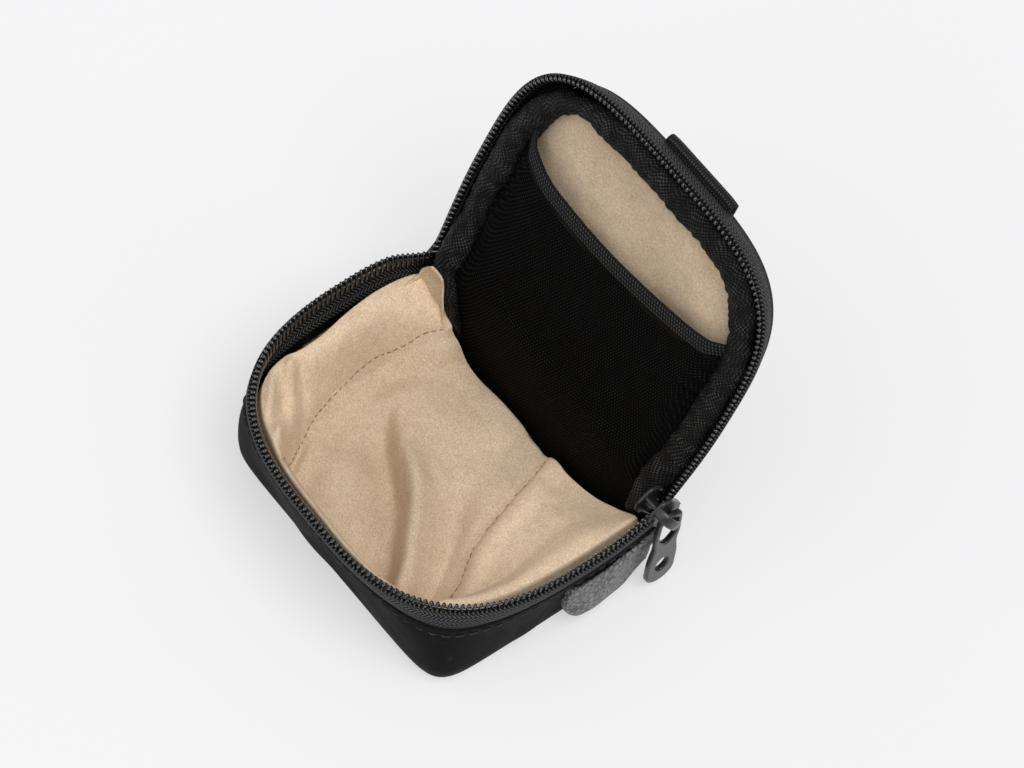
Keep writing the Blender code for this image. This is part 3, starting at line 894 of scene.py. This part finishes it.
def make_lining():
    """The loose tan bag: it hangs from the rim and its floor is heaped into soft folds."""
    top = spline(BAG_TOP, 280)
    count = len(top)
    around = np.linspace(0.0, 1.0, count)
    target_x = np.interp(around, [0, 0.45, 1], [26.0, 2.0, -24.0])
    target = np.stack([target_x, np.full(count, 30.8)], 1)
    steps = np.concatenate([np.linspace(0.0, 0.3, 50)[:-1], np.linspace(0.3, 1.0, 66)]) ** 1.12
    plan = top[None] + (target - top)[None] * steps[:, None, None]
    gap, _ = signed_distance(plan, top)
    height = lining_height(plan, np.abs(gap))
    grid = np.concatenate([plan, height[..., None]], -1)
    grid[..., 2] += (ripple(grid, 19.0, 0.3, 3) + ripple(grid, 8.0, 0.08, 4)) * smoothstep(
        1.0, 6.0, np.abs(gap)
    )
    wall = body_outline(21.2, 1.4)
    nearest = np.linalg.norm(top[:, None] - wall[None], axis=2).argmin(1)
    outer = wall[nearest]
    hem = [
        at_height(outer, 21.0),
        at_height(outer * 0.45 + top * 0.55, 23.4),
        at_height(outer * 0.12 + top * 0.88, 25.8),
    ]
    grid = np.concatenate([np.array(hem), grid])
    # Faces beyond the two seams, on the side walls, take the lighter tan as painted light; the rest
    # of the bag takes the darker tan as painted shade.
    lining = grid_piece("lining_bag", grid, LINING_FLOOR_PAINTED_SHADE, thick=0.5)
    lining.data.materials.append(LINING_SIDE_PAINTED_LIGHT)
    centres = np.array([face.center[:2] for face in lining.data.polygons]) / MM
    left, _ = signed_distance(centres, spline(LEFT_SEAM, 70))
    right, _ = signed_distance(centres, spline(RIGHT_SEAM, 70))
    for face, side in zip(lining.data.polygons, np.maximum(-left, right)):
        face.material_index = int(side > 0)
    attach(lining, "pouch_body")
    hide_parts("wall_lining", "floor_lining")
    return lining


POCKET_EDGE = [
    (-43.0, 56.0), (-38.0, 51.0), (-34.3, 47.2), (-30.0, 44.4), (-25.0, 42.4), (-17.0, 41.5),
    (-8.0, 41.1), (2.0, 41.4), (16.5, 43.1), (30.5, 45.9), (43.0, 50.6),
]
EDGE_CURVE = spline(POCKET_EDGE, 160)
ELASTIC_WIDTH = 4.3
REAR_INSIDE = [
    (35.4, 33.6), (34.6, 30.5), (34.1, 26.5), (33.6, 19.0), (33.0, 9.0), (32.0, 4.2),
    (27.0, 3.0),
]


def pocket_edge(x):
    return np.interp(x, EDGE_CURVE[:, 0], EDGE_CURVE[:, 1])


def pocket_depth(x, s, pleated=1.0):
    """The pocket's sheet: taut in the middle, and drawn under the roll with small gathers."""
    side = np.abs(x)
    tuck = smoothstep(33.0, 41.0, side)
    depth = -1.0 + 4.2 * tuck
    near = smoothstep(29.5, 37.0, side)
    sewn = smoothstep(14.0, 24.0, s)
    pleats = np.sin(s * 2 * math.pi / 3.4 + 1.6 * np.sin(s / 4.1)) * 0.55 * near * sewn
    hollow = 0.7 * np.cos(np.clip(x / 36.0, -1.0, 1.0) * math.pi / 2) * smoothstep(4.0, 22.0, s)
    return depth + pleated * pleats + hollow


def make_black_panel():
    """Mesh that runs on from the lid's pocket, over the hinge and down inside the rear."""
    x = np.linspace(-41.0, 41.0, 150)
    top = pocket_edge(x) - ELASTIC_WIDTH + 0.4
    rows = []
    for share in np.linspace(0.0, 1.0, 84):
        s = top * (1 - share) + 5.0 * share
        rows.append(lid_to_world(np.stack([x, s, pocket_depth(x, s)], 1)))
    last = rows[-1]
    for y, z in spline([(last[75, 1], last[75, 2]), *REAR_INSIDE], 60)[1:]:
        blend = smoothstep(36.0, 28.0, z)
        row = last.copy()
        row[:, 1] = y + (last[:, 1] - last[75, 1]) * (1 - blend)
        row[:, 2] = z + (last[:, 2] - last[75, 2]) * (1 - blend)
        row[:, 0] = x * (1.0 - 0.03 * blend)
        rows.append(row)
    grid = np.array(rows)
    grid[..., 1] -= ripple(grid, 24.0, 0.3, 11)
    panel = grid_piece("black_mesh_panel", grid, MESH, thick=0.5)
    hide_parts("mesh_pocket", "rear_lining")
    across_hinge(panel, -4.0, 5.0)
    return panel


def make_elastic(panel):
    """The ribbed band along the pocket's edge, as a closed flat section."""
    x = np.linspace(-39.5, 40.5, 220)
    s = pocket_edge(x)
    ring = []
    half, thick = ELASTIC_WIDTH / 2, 0.62
    for turn in np.linspace(0.0, 2 * math.pi, 26, endpoint=False):
        across = half * np.sign(math.cos(turn)) * abs(math.cos(turn)) ** 0.5
        out = thick * np.sign(math.sin(turn)) * abs(math.sin(turn)) ** 0.8
        depth = pocket_depth(x, s - half, 0.0) - 0.1
        ring.append(lid_to_world(np.stack([x, s - half + across, depth + out], 1)))
    grid = np.array(ring)
    band = grid_piece("pocket_elastic_band", grid, ELASTIC, wrap_rows=True)
    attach(band, "lid")
    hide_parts("pocket_elastic")
    start = pocket_edge(x) - ELASTIC_WIDTH
    rows = []
    for share in np.linspace(0.0, 1.0, 10):
        s = start + 0.5 - share * 1.9
        depth = pocket_depth(x, s, 0.0) - 0.42 + 0.3 * share
        rows.append(lid_to_world(np.stack([x, s, depth], 1)))
    hem = grid_piece("pocket_hem", np.array(rows), HEM)
    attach(hem, "lid")


def make_lid_lining():
    """Tan lining inside the lid, a little slack between the roll and the pocket."""
    x = np.linspace(-41.4, 41.4, 120)
    half = LID_LENGTH - LID_BELLY - 6.4
    top = LID_BELLY + half * (1 - np.abs(x / 42.2) ** 3.5) ** (1 / 3.5)
    rows = []
    for share in np.linspace(0.0, 1.0, 110):
        s = 1.2 + (top - 1.2) * share
        rows.append(np.stack([x, s, np.full(len(x), LID_LINING - 0.2)], 1))
    grid = np.array(rows)
    slack = smoothstep(45.0, 30.0, np.abs(grid[..., 0])) * smoothstep(74.0, 60.0, grid[..., 1])
    grid[..., 2] -= 2.2 * slack
    grid[..., 2] += ripple(grid, 30.0, 0.5, 21) * slack + ripple(grid, 9.0, 0.12, 22) * slack
    # The lid lining takes the darker tan copy: painted shade.
    lining = grid_piece("lid_tan_lining", lid_to_world(grid), LINING_PAINTED_SHADE)
    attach(lining, "lid")
    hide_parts("lid_lining", "lid_board")


ROLL_LEFT_END = [
    (-39.6, 34.4, 31.0), (-36.4, 32.6, 26.8), (-33.0, 31.7, 22.4), (-30.8, 32.0, 17.6),
    (-29.8, 32.6, 12.5),
]
ROLL_RIGHT_END = [(39.8, 34.8, 30.2), (39.2, 33.8, 25.5), (38.8, 33.2, 21.0)]


def make_roll():
    """The soft tube of coarse nylon round the inside of the lid, gathered at its corners."""
    main = lid_to_world(resample(lid_outline(ROLL_INSET, ROLL_DEPTH, 7.0), 300))
    route = spline(
        np.vstack([ROLL_RIGHT_END[::-1], main[3:-3:6], ROLL_LEFT_END]), 680
    )
    lengths = lengths_along(route)
    height = route[:, 2]
    inside = smoothstep(37.0, 29.0, height)[:, None]
    outward = unit(OUT_OF_LID * (1 - inside) + np.array((0.0, 1.0, 0.0)) * inside)
    tangent = unit(np.gradient(route, axis=0))
    outward = unit(outward - tangent * (outward * tangent).sum(1, keepdims=True))
    inward = np.cross(outward, tangent)
    centre = lid_to_world((0.0, 36.0, ROLL_DEPTH))
    inward *= np.sign((inward * (centre - route)).sum(1))[:, None]
    corner = bump(np.abs(route[:, 0]) - 38.0, 11.0) * smoothstep(50.0, 60.0, height)
    left_corner = bump(route[:, 0] + 34.0, 12.0) * smoothstep(70.0, 90.0, height)
    turns = np.linspace(0.0, 2 * math.pi, 46, endpoint=False)
    thin = 1.0 - 0.3 * smoothstep(37.0, 25.0, height) - 0.4 * smoothstep(25.0, 13.0, height)
    wander = lengths * 2 * math.pi / 3.4 + 2.6 * np.sin(lengths / 6.1) + 1.4 * np.sin(lengths / 2.3)
    grid = []
    for turn in turns:
        inner = max(math.cos(turn), 0.0) ** 0.7
        swell = 1.0 + 0.04 * np.sin(wander) * (0.15 + inner) * (0.1 + 0.9 * corner)
        width = (4.0 - 1.2 * left_corner) * swell * thin
        depth = 3.2 * swell * thin
        grid.append(
            route
            + inward * (width * math.cos(turn))[:, None]
            + outward * (depth * math.sin(turn))[:, None]
        )
    grid = np.array(grid)
    lump = ripple(grid, 16.0, 0.35, 31) + ripple(grid, 3.4, 0.16, 32)
    grid += unit(grid - route[None]) * lump[..., None]
    roll = grid_piece("lid_roll", grid, ROLL_NYLON, wrap_rows=True)
    close_tube(roll, len(turns), len(route))
    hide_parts("lid_roll_cover", "lid_roll_core")
    across_hinge(roll, -5.0, 4.0)


def closed_lid_outline(inset, depth):
    """The lid's outline with its rear closed, in the lid's own coordinates."""
    plan = lid_outline(inset, depth, 3.0, inset + LID_SIDE_LEAN - LID_SEAM_INSET)
    return closed_behind(plan, LID_REAR_CORNER, -LID_REAR_CORNER)


def make_lid_shell():
    """The lid's outer nylon: a shallow dome with a soft rolled edge."""
    levels = [(4.2, 7.0), (3.8, 7.4), (3.6, 8.0), (3.7, 8.7), (4.1, 9.5), (5.0, 10.2), (6.6, 10.7)]
    rows = [closed_lid_outline(inset, depth) for inset, depth in levels]
    edge = rows[-1]
    middle = np.array((0.0, 34.0, 11.5))
    for share in np.linspace(0.0, 1.0, 26)[1:-1]:
        row = edge + (middle - edge) * share
        row[:, 2] = 10.7 + 0.9 * math.sin(share * math.pi / 2)
        rows.append(row)
    grid = np.array(rows)
    grid[..., 2] += ripple(grid, 24.0, 0.25, 41) * smoothstep(9.5, 10.9, grid[..., 2])
    shell = grid_piece("lid_shell", lid_to_world(grid), NYLON, wrap_columns=True)
    last = (len(rows) - 1) * grid.shape[1]
    fill_end(shell, range(last, last + grid.shape[1]))
    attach(shell, "lid")
    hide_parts("lid_panel", "lid_foam")

    path = lid_to_world(closed_lid_outline(3.2, LID_TAPE_DEPTH + 0.35))
    path = np.vstack([path, path[:1]])
    points, faces = tube(path, 0.5, np.tile(OUT_OF_LID, (len(path), 1)), 12)
    piping = mesh_piece("lid_piping", points, faces, BLACK_THREAD)
    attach(piping, "lid")
    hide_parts("lid_edge_binding")

    row = closed_lid_outline(5.9, 10.1)[: len(lid_outline())]
    path = lid_to_world(row)
    points, faces = stitches(path, np.tile(OUT_OF_LID, (len(path), 1)), 2.7, 0.75, 0.24)
    stitch = mesh_piece("lid_topstitch", points, faces, BLACK_THREAD)
    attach(stitch, "lid")


def make_hinge_fabric():
    """Nylon that folds over the hinge: up the body's rear and out along the lid's rear."""
    x = np.linspace(-45.6, 43.0, 100)
    curve = [(REAR_Y + 0.35, 22.0), (REAR_Y + 0.3, 27.0), (REAR_Y + 0.2, 30.4)]
    for s, d in ((0.6, 1.4), (0.9, 4.5), (1.2, 7.6)):
        _, y, z = lid_to_world((0.0, s, d))
        curve.append((y, z))
    rows = []
    for y, z in spline(curve, 40):
        rows.append(np.stack([x, np.full(len(x), y), np.full(len(x), z)], 1))
    grid = np.array(rows)
    grid[..., 1] += ripple(grid, 18.0, 0.12, 51)
    fabric = grid_piece("hinge_fabric", grid, NYLON, thick=0.7)
    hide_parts("lid_rear_panel")
    end = tuple(lid_to_world((0.0, 0.6, 2.4)) * MM)
    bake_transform(fabric)


def make_webbing_tab():
    """A short folded loop of webbing sewn into the lid's front seam."""
    half, centre, reach, rise = 12.3, 4.0, -0.3, 1.1
    base = LID_LENGTH - 4.4
    profile = [(base, rise)]
    for turn in np.linspace(0.0, math.pi, 15):
        profile.append((LID_LENGTH + reach - rise + rise * math.sin(turn), rise * math.cos(turn)))
    profile.append((base, -rise))
    profile = resample(profile, 34)
    grid = []
    for s, d in profile:
        x = np.linspace(centre - half, centre + half, 60)
        dip = 0.25 * smoothstep(9.0, 12.7, np.abs(x - centre))
        depth = 8.7 + d * (1 - 0.16 * smoothstep(11.2, 12.7, np.abs(x - centre)))
        grid.append(np.stack([x, s - dip, depth], 1))
    tab = grid_piece("webbing_loop", lid_to_world(np.array(grid)), WEBBING, thick=0.9)
    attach(tab, "lid")
    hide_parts("lid_webbing_tab")


def wall_x(y, z):
    """The outer face of the body's right side."""
    plan = body_outline(z, -0.3)[: SIDE_POINTS + 60]
    order = np.argsort(plan[:, 1])
    return np.interp(y, plan[order, 1], plan[order, 0])


def make_side_tab():
    """Pebbled leather strip on the right wall, bowed out nearer its front end."""
    low, high = cad_box("leather_side_tab")
    length = np.linspace(0.0, 1.0, 90)
    y = low[1] + (high[1] - low[1]) * length
    nose = np.clip((y - low[1]) / 9.0, 0.0, 1.0)
    lift = 7.0 * (1 - np.sqrt(1 - (1 - nose) ** 2))
    bow = np.sin(math.pi * length**0.55)
    ring = []
    steps = 30
    for turn in np.linspace(0.0, 2 * math.pi, steps, endpoint=False):
        up = 0.5 + 0.5 * np.sign(math.sin(turn)) * abs(math.sin(turn)) ** 0.55
        out = 0.75 * np.sign(math.cos(turn)) * abs(math.cos(turn)) ** 0.55
        z = low[2] + lift + (high[2] - low[2] - lift * 1.15) * up
        bulge = (3.4 + (0.8 - 3.4) * up) * bow
        wall = np.array([wall_x(a, min(b, SEAM_Z)) for a, b in zip(y, z)])
        x = wall + 0.95 + bulge + out
        ring.append(np.stack([np.minimum(x, high[0] + 0.3), y, z], 1))
    grid = np.array(ring)
    crease = ripple(grid * (1.0, 0.45, 1.6), 6.5, 0.22, 61)
    grid[..., 0] += crease - 0.2
    tab = grid_piece("side_leather", grid, LEATHER, wrap_rows=True)
    close_tube(tab, steps, len(y))
    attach(tab, "pouch_body")
    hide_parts("leather_side_tab")


def flat_metal(name, outline, holes, near, far, soften, place=None):
    """A plate with rounded edges from an outline in (y, z), between two places along x."""
    data = bpy.data.curves.new(name, "CURVE")
    data.dimensions = "2D"
    data.fill_mode = "BOTH"
    data.extrude = max((far - near) / 2 - soften, 0.01)
    data.bevel_depth = soften
    data.bevel_resolution = 3
    data.offset = -soften
    for ring in (outline, *holes):
        line = data.splines.new("POLY")
        line.points.add(len(ring) - 1)
        for point, (a, b) in zip(line.points, ring):
            point.co = (a, b, 0.0, 1.0)
        line.use_cyclic_u = True
    shape = bpy.data.objects.new(name + "_curve", data)
    bpy.context.scene.collection.objects.link(shape)
    bpy.context.view_layer.update()
    seen = shape.evaluated_get(bpy.context.evaluated_depsgraph_get())
    mesh = bpy.data.meshes.new_from_object(seen)
    bpy.data.objects.remove(shape)
    middle = (near + far) / 2
    swap = Matrix(((0, 0, 1, middle), (1, 0, 0, 0), (0, 1, 0, 0), (0, 0, 0, 1)))
    mesh.transform(Matrix.Scale(MM, 4) @ (place or Matrix()) @ swap)
    mesh.materials.clear()
    mesh.materials.append(METAL)
    obj = bpy.data.objects.new(name, mesh)
    bpy.context.scene.collection.objects.link(obj)
    mesh.shade_smooth()
    mesh.set_sharp_from_angle(angle=math.radians(50.0))
    return obj


def rounded(corners, radius, steps=6):
    """A polygon with its corners rounded."""
    corners = np.asarray(corners, float)
    out = []
    for before, at, after in zip(np.roll(corners, 1, 0), corners, np.roll(corners, -1, 0)):
        one, two = before - at, after - at
        cut = min(radius, 0.45 * np.linalg.norm(one), 0.45 * np.linalg.norm(two))
        start, end = at + unit(one) * cut, at + unit(two) * cut
        for t in np.linspace(0.0, 1.0, steps):
            out.append((1 - t) ** 2 * start + 2 * t * (1 - t) * at + t**2 * end)
    return np.array(out)


def rectangle(left, low, right, high):
    return [(left, low), (right, low), (right, high), (left, high)]


def circle(centre, wide, tall, steps=40):
    turn = np.linspace(0.0, 2 * math.pi, steps, endpoint=False)
    return np.stack([centre[0] + wide * np.cos(turn), centre[1] + tall * np.sin(turn)], 1)


def make_slider():
    low, high = cad_box("slider_body")
    middle = (low + high) / 2
    turn = Matrix.Rotation(math.pi - SLIDER_LEAN, 4, "X")
    place = Matrix.Translation((0.0, middle[1], RIM_Z)) @ turn
    length, width = 4.7, 4.3
    outline = rounded(
        [
            (length, -2.4),
            (length, 2.4),
            (0.62 * length, width),
            (-0.3 * length, width),
            (-length, 0.86 * width),
            (-length, -0.86 * width),
            (-0.3 * length, -width),
            (0.62 * length, -width),
        ],
        0.9,
    )
    made = [
        flat_metal("slider_inner", outline, (), low[0] - 0.1, low[0] + 0.8, 0.28, place),
        flat_metal("slider_outer", outline, (), high[0] - 0.8, high[0] + 0.1, 0.28, place),
    ]
    rail = rounded(rectangle(-length + 0.4, -0.5, 0.5 * length, 0.5), 0.4)
    for side in (-1, 1):
        shift = place @ Matrix.Translation((0.0, -0.4, side * (width - 0.55)))
        made.append(flat_metal("slider_rail", rail, (), high[0] - 1.9, high[0] - 0.3, 0.2, shift))
        made.append(flat_metal("slider_rail", rail, (), low[0] + 0.3, low[0] + 1.5, 0.2, shift))
    post = rounded([(1.0, -1.2), (4.2, -0.5), (4.2, 0.5), (1.0, 1.2), (-0.6, 0.0)], 0.4)
    made.append(flat_metal("slider_post", post, (), low[0] + 0.4, high[0] - 0.4, 0.1, place))
    joined("slider_housing", made, "slider", "metal", "slider_body")

    path = [
        (high[0] - 0.2, -4.3, 0.0),
        (high[0] + 1.7, -4.2, 0.0),
        (high[0] + 3.3, -3.1, 0.0),
        (high[0] + 3.9, -1.0, 0.0),
        (high[0] + 3.9, 1.2, 0.0),
        (high[0] + 3.3, 3.0, 0.0),
        (high[0] + 1.8, 3.9, 0.0),
        (high[0] - 0.2, 4.0, 0.0),
    ]
    centre = spline(path, 40)
    tangent = unit(np.gradient(centre, axis=0))
    normal = np.stack([tangent[:, 1], -tangent[:, 0], np.zeros(len(centre))], 1)
    grid = []
    for angle in np.linspace(0.0, 2 * math.pi, 24, endpoint=False):
        thick = 0.62 * np.sign(math.cos(angle)) * abs(math.cos(angle)) ** 0.6
        wide = 1.35 * np.sign(math.sin(angle)) * abs(math.sin(angle)) ** 0.6
        grid.append(centre + normal * thick + np.array((0.0, 0.0, wide)))
    grid = np.array(grid)
    turned = np.array([[place @ Vector(p) for p in row] for row in grid])
    crown = grid_piece("slider_bridge", turned, METAL, wrap_rows=True)
    close_tube(crown, len(grid), len(centre))
    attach(crown, "slider")
    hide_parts("slider_crown")


def joined(name, pieces, body, slot, *nodes):
    """Several metal meshes as one piece that rides a body."""
    with bpy.context.temp_override(
        active_object=pieces[0], selected_editable_objects=pieces, object=pieces[0]
    ):
        bpy.ops.object.join()
    piece = pieces[0]
    piece.name = name
    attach(piece, body)
    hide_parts(*nodes)


def make_pull():
    low, high = cad_box("zip_pull")
    centre_y = (low[1] + high[1]) / 2
    top, bottom, half = high[2], low[2], (high[1] - low[1]) / 2
    right = [(half - 0.9, top), (half - 0.4, top - 9.0), (half - 1.0, top - 13.5), (half, top - 19.5)]
    end = [
        (half * math.cos(a), bottom + half + half * math.sin(a))
        for a in np.linspace(0.0, -math.pi, 22)
    ]
    left = [(-y, z) for y, z in right[::-1]]
    corners = [*right, *end, *left]
    outline = rounded(corners, 1.6, 4) + (centre_y, 0.0)
    inner = half - 1.9
    window = [(-inner, top - 1.5), (inner, top - 1.5), (inner + 0.3, top - 9.6), (0.0, top - 13.2)]
    window += [(-inner - 0.3, top - 9.6)]
    loop = rounded(window, 1.3) + (centre_y, 0.0)
    hole = circle((centre_y, bottom + half + 3.6), 2.0, 3.0)
    pull = flat_metal("pull_plate", outline, (loop, hole), low[0], high[0], 0.42)
    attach(pull, "pull")
    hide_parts("zip_pull")


def make_end_tabs():
    """Folded cloth tabs that cover the two ends of the zip."""
    for name in ("end_tab_left", "end_tab_right"):
        node = "zip_" + name
        low, high = cad_box(node)
        outline = rounded(rectangle(low[0], low[2], high[0], high[2]), 0.8)
        middle = outline.mean(0)
        rows = []
        for y, size in ((high[1], 0.86), (high[1] - 0.2, 1.0), (low[1] + 0.2, 1.0), (low[1], 0.86)):
            ring = middle + (outline - middle) * size
            rows.append(np.stack([ring[:, 0], np.full(len(ring), y), ring[:, 1]], 1))
        grid = np.array(rows)
        tab = grid_piece(name, grid, WEBBING, wrap_columns=True)
        count = len(outline)
        fill_end(tab, range(count))
        fill_end(tab, range(3 * count, 4 * count))
        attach(tab, "pouch_body")
        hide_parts(node)


FLAP_PLAN = [
    (-44.8, 23.0), (-44.4, 27.5), (-41.0, 30.4), (-35.6, 30.4), (-32.4, 28.8), (-27.0, 28.6),
]


def make_corner_flap():
    """The lining's loose end, turned round the rear left corner and up to the hinge."""
    plan = spline(FLAP_PLAN, 80)
    share = np.linspace(0.0, 1.0, 80)
    stops = [0.0, 0.25, 0.42, 0.6, 0.7, 0.84, 1.0]
    top = np.interp(share, stops, [26.0, 27.0, 32.0, 31.4, 26.0, 17.0, 9.0])
    rows = []
    for t in np.linspace(0.0, 1.0, 34):
        z = top * (1 - t) + 5.0 * t
        sag = 1.5 * math.sin(t * math.pi)
        toward = unit(np.array((0.0, 10.0)) - plan)
        row = np.column_stack([plan + toward * sag, z])
        reach = np.array([body_outline(level)[-1, 0] for level in (5.0, 18.0, 31.0)])
        row[:, 0] = np.maximum(row[:, 0], np.interp(z, (5.0, 18.0, 31.0), reach) + 2.4)
        rows.append(row)
    grid = np.array(rows)
    loose = np.linspace(0.2, 1.0, 34)[:, None] * smoothstep(0.0, 0.25, share)[None]
    grid[..., :2] += (ripple(grid, 10.0, 0.55, 71) * loose)[..., None]
    # The flap takes the same darker tan copy: painted shade.
    flap = grid_piece("lining_corner", grid, LINING_PAINTED_SHADE, thick=0.5)
    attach(flap, "pouch_body")


def make_lining_seams(lining):
    """Short stitches in the lining's two seams, dark tan: part thread, part painted shade of the seam
    creases.
    """
    mesh = lining.data
    tree = BVHTree.FromPolygons(
        [v.co / MM for v in mesh.vertices], [tuple(p.vertices) for p in mesh.polygons]
    )
    made = []
    for seam in (LEFT_SEAM, RIGHT_SEAM):
        path, normals = [], []
        for x, y in spline(seam, 120):
            hit, normal, _, _ = tree.ray_cast(Vector((x, y, 60.0)), Vector((0.0, 0.0, -1.0)))
            if hit is not None:
                normal = normal if normal.z > 0 else -normal
                path.append(np.array(hit) + np.array(normal) * 0.3)
                normals.append(np.array(normal))
        made.append(stitches(np.array(path), np.array(normals), 1.4, 0.8, 0.12, 0.3))
    points, faces = join_meshes(made)
    thread = mesh_piece("lining_seam_thread_and_shade", points, faces, TAN_THREAD_AND_SEAM_SHADE)
    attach(thread, "pouch_body")


def make_stage():
    floor = bpy.data.meshes.new("floor")
    half = 3.0
    corners = [(-half, -half, 0.0), (half, -half, 0.0), (half, half, 0.0), (-half, half, 0.0)]
    floor.from_pydata(corners, [], [(0, 1, 2, 3)])
    n = Nodes(
        "pale_floor",
        (0.35, 0.35, 0.35),
        0.95,
        Specular_IOR_Level=0.02,
        Emission_Color=(1.0, 1.0, 1.0, 1.0),
        Emission_Strength=0.52,
    )
    haze = n.noise(4.0, 2.0)
    n.use(n.colours(haze, [(0.3, grey(0.355)), (0.7, grey(0.365))]))
    floor.materials.append(n.material)
    ground = bpy.data.objects.new("floor", floor)
    ground.location.z = -0.0002
    bpy.context.scene.collection.objects.link(ground)


def make_camera():
    """The viewpoint: high at the front right, rolled a little, with a long lens."""
    azimuth, elevation, roll = (math.radians(a) for a in (43.3, 58.5, 10.26))
    target = Vector((-0.01544, 0.04027, 0.0))
    distance = 1.567
    back = Vector(
        (
            math.sin(azimuth) * math.cos(elevation),
            -math.cos(azimuth) * math.cos(elevation),
            math.sin(elevation),
        )
    )
    across = Vector((0, 0, 1)).cross(back).normalized()
    upright = back.cross(across)
    right = math.cos(roll) * across + math.sin(roll) * upright
    up = -math.sin(roll) * across + math.cos(roll) * upright
    data = bpy.data.cameras.new("camera")
    data.sensor_width = 36.0
    data.lens = 218.5
    data.clip_end = 20.0
    camera = bpy.data.objects.new("camera", data)
    facing = Matrix((right, up, back)).transposed().to_4x4()
    camera.matrix_world = Matrix.Translation(target + back * distance) @ facing
    bpy.context.scene.collection.objects.link(camera)
    bpy.context.scene.camera = camera


def broad_light(name, direction, strength, angle):
    """Even, soft light from a wide patch of sky."""
    data = bpy.data.lights.new(name, "SUN")
    data.energy = strength
    data.angle = math.radians(angle)
    lamp = bpy.data.objects.new(name, data)
    lamp.rotation_euler = Vector(direction).to_track_quat("Z", "Y").to_euler()
    bpy.context.scene.collection.objects.link(lamp)


def make_lights():
    bpy.context.scene.view_settings.view_transform = "Standard"
    world = bpy.data.worlds.new("studio")
    bpy.context.scene.world = world
    world.use_nodes = True
    background = world.node_tree.nodes["Background"]
    background.inputs["Color"].default_value = (1.0, 1.0, 1.0, 1.0)
    background.inputs["Strength"].default_value = 0.44
    broad_light("key", (0.42, 0.0, 1.0), 1.85, 44.0)
    broad_light("fill", (-0.25, -0.85, 1.0), 0.5, 60.0)


make_stage()
make_camera()
make_lights()
BODY_INWARD = make_body_zip()
make_lid_zip()
make_shell()
make_body_stitches(BODY_INWARD)
BAG = make_lining()
make_lining_seams(BAG)
make_corner_flap()
make_elastic(make_black_panel())
make_lid_lining()
make_roll()
make_lid_shell()
make_hinge_fabric()
make_webbing_tab()
make_side_tab()
make_slider()
make_pull()
make_end_tabs()
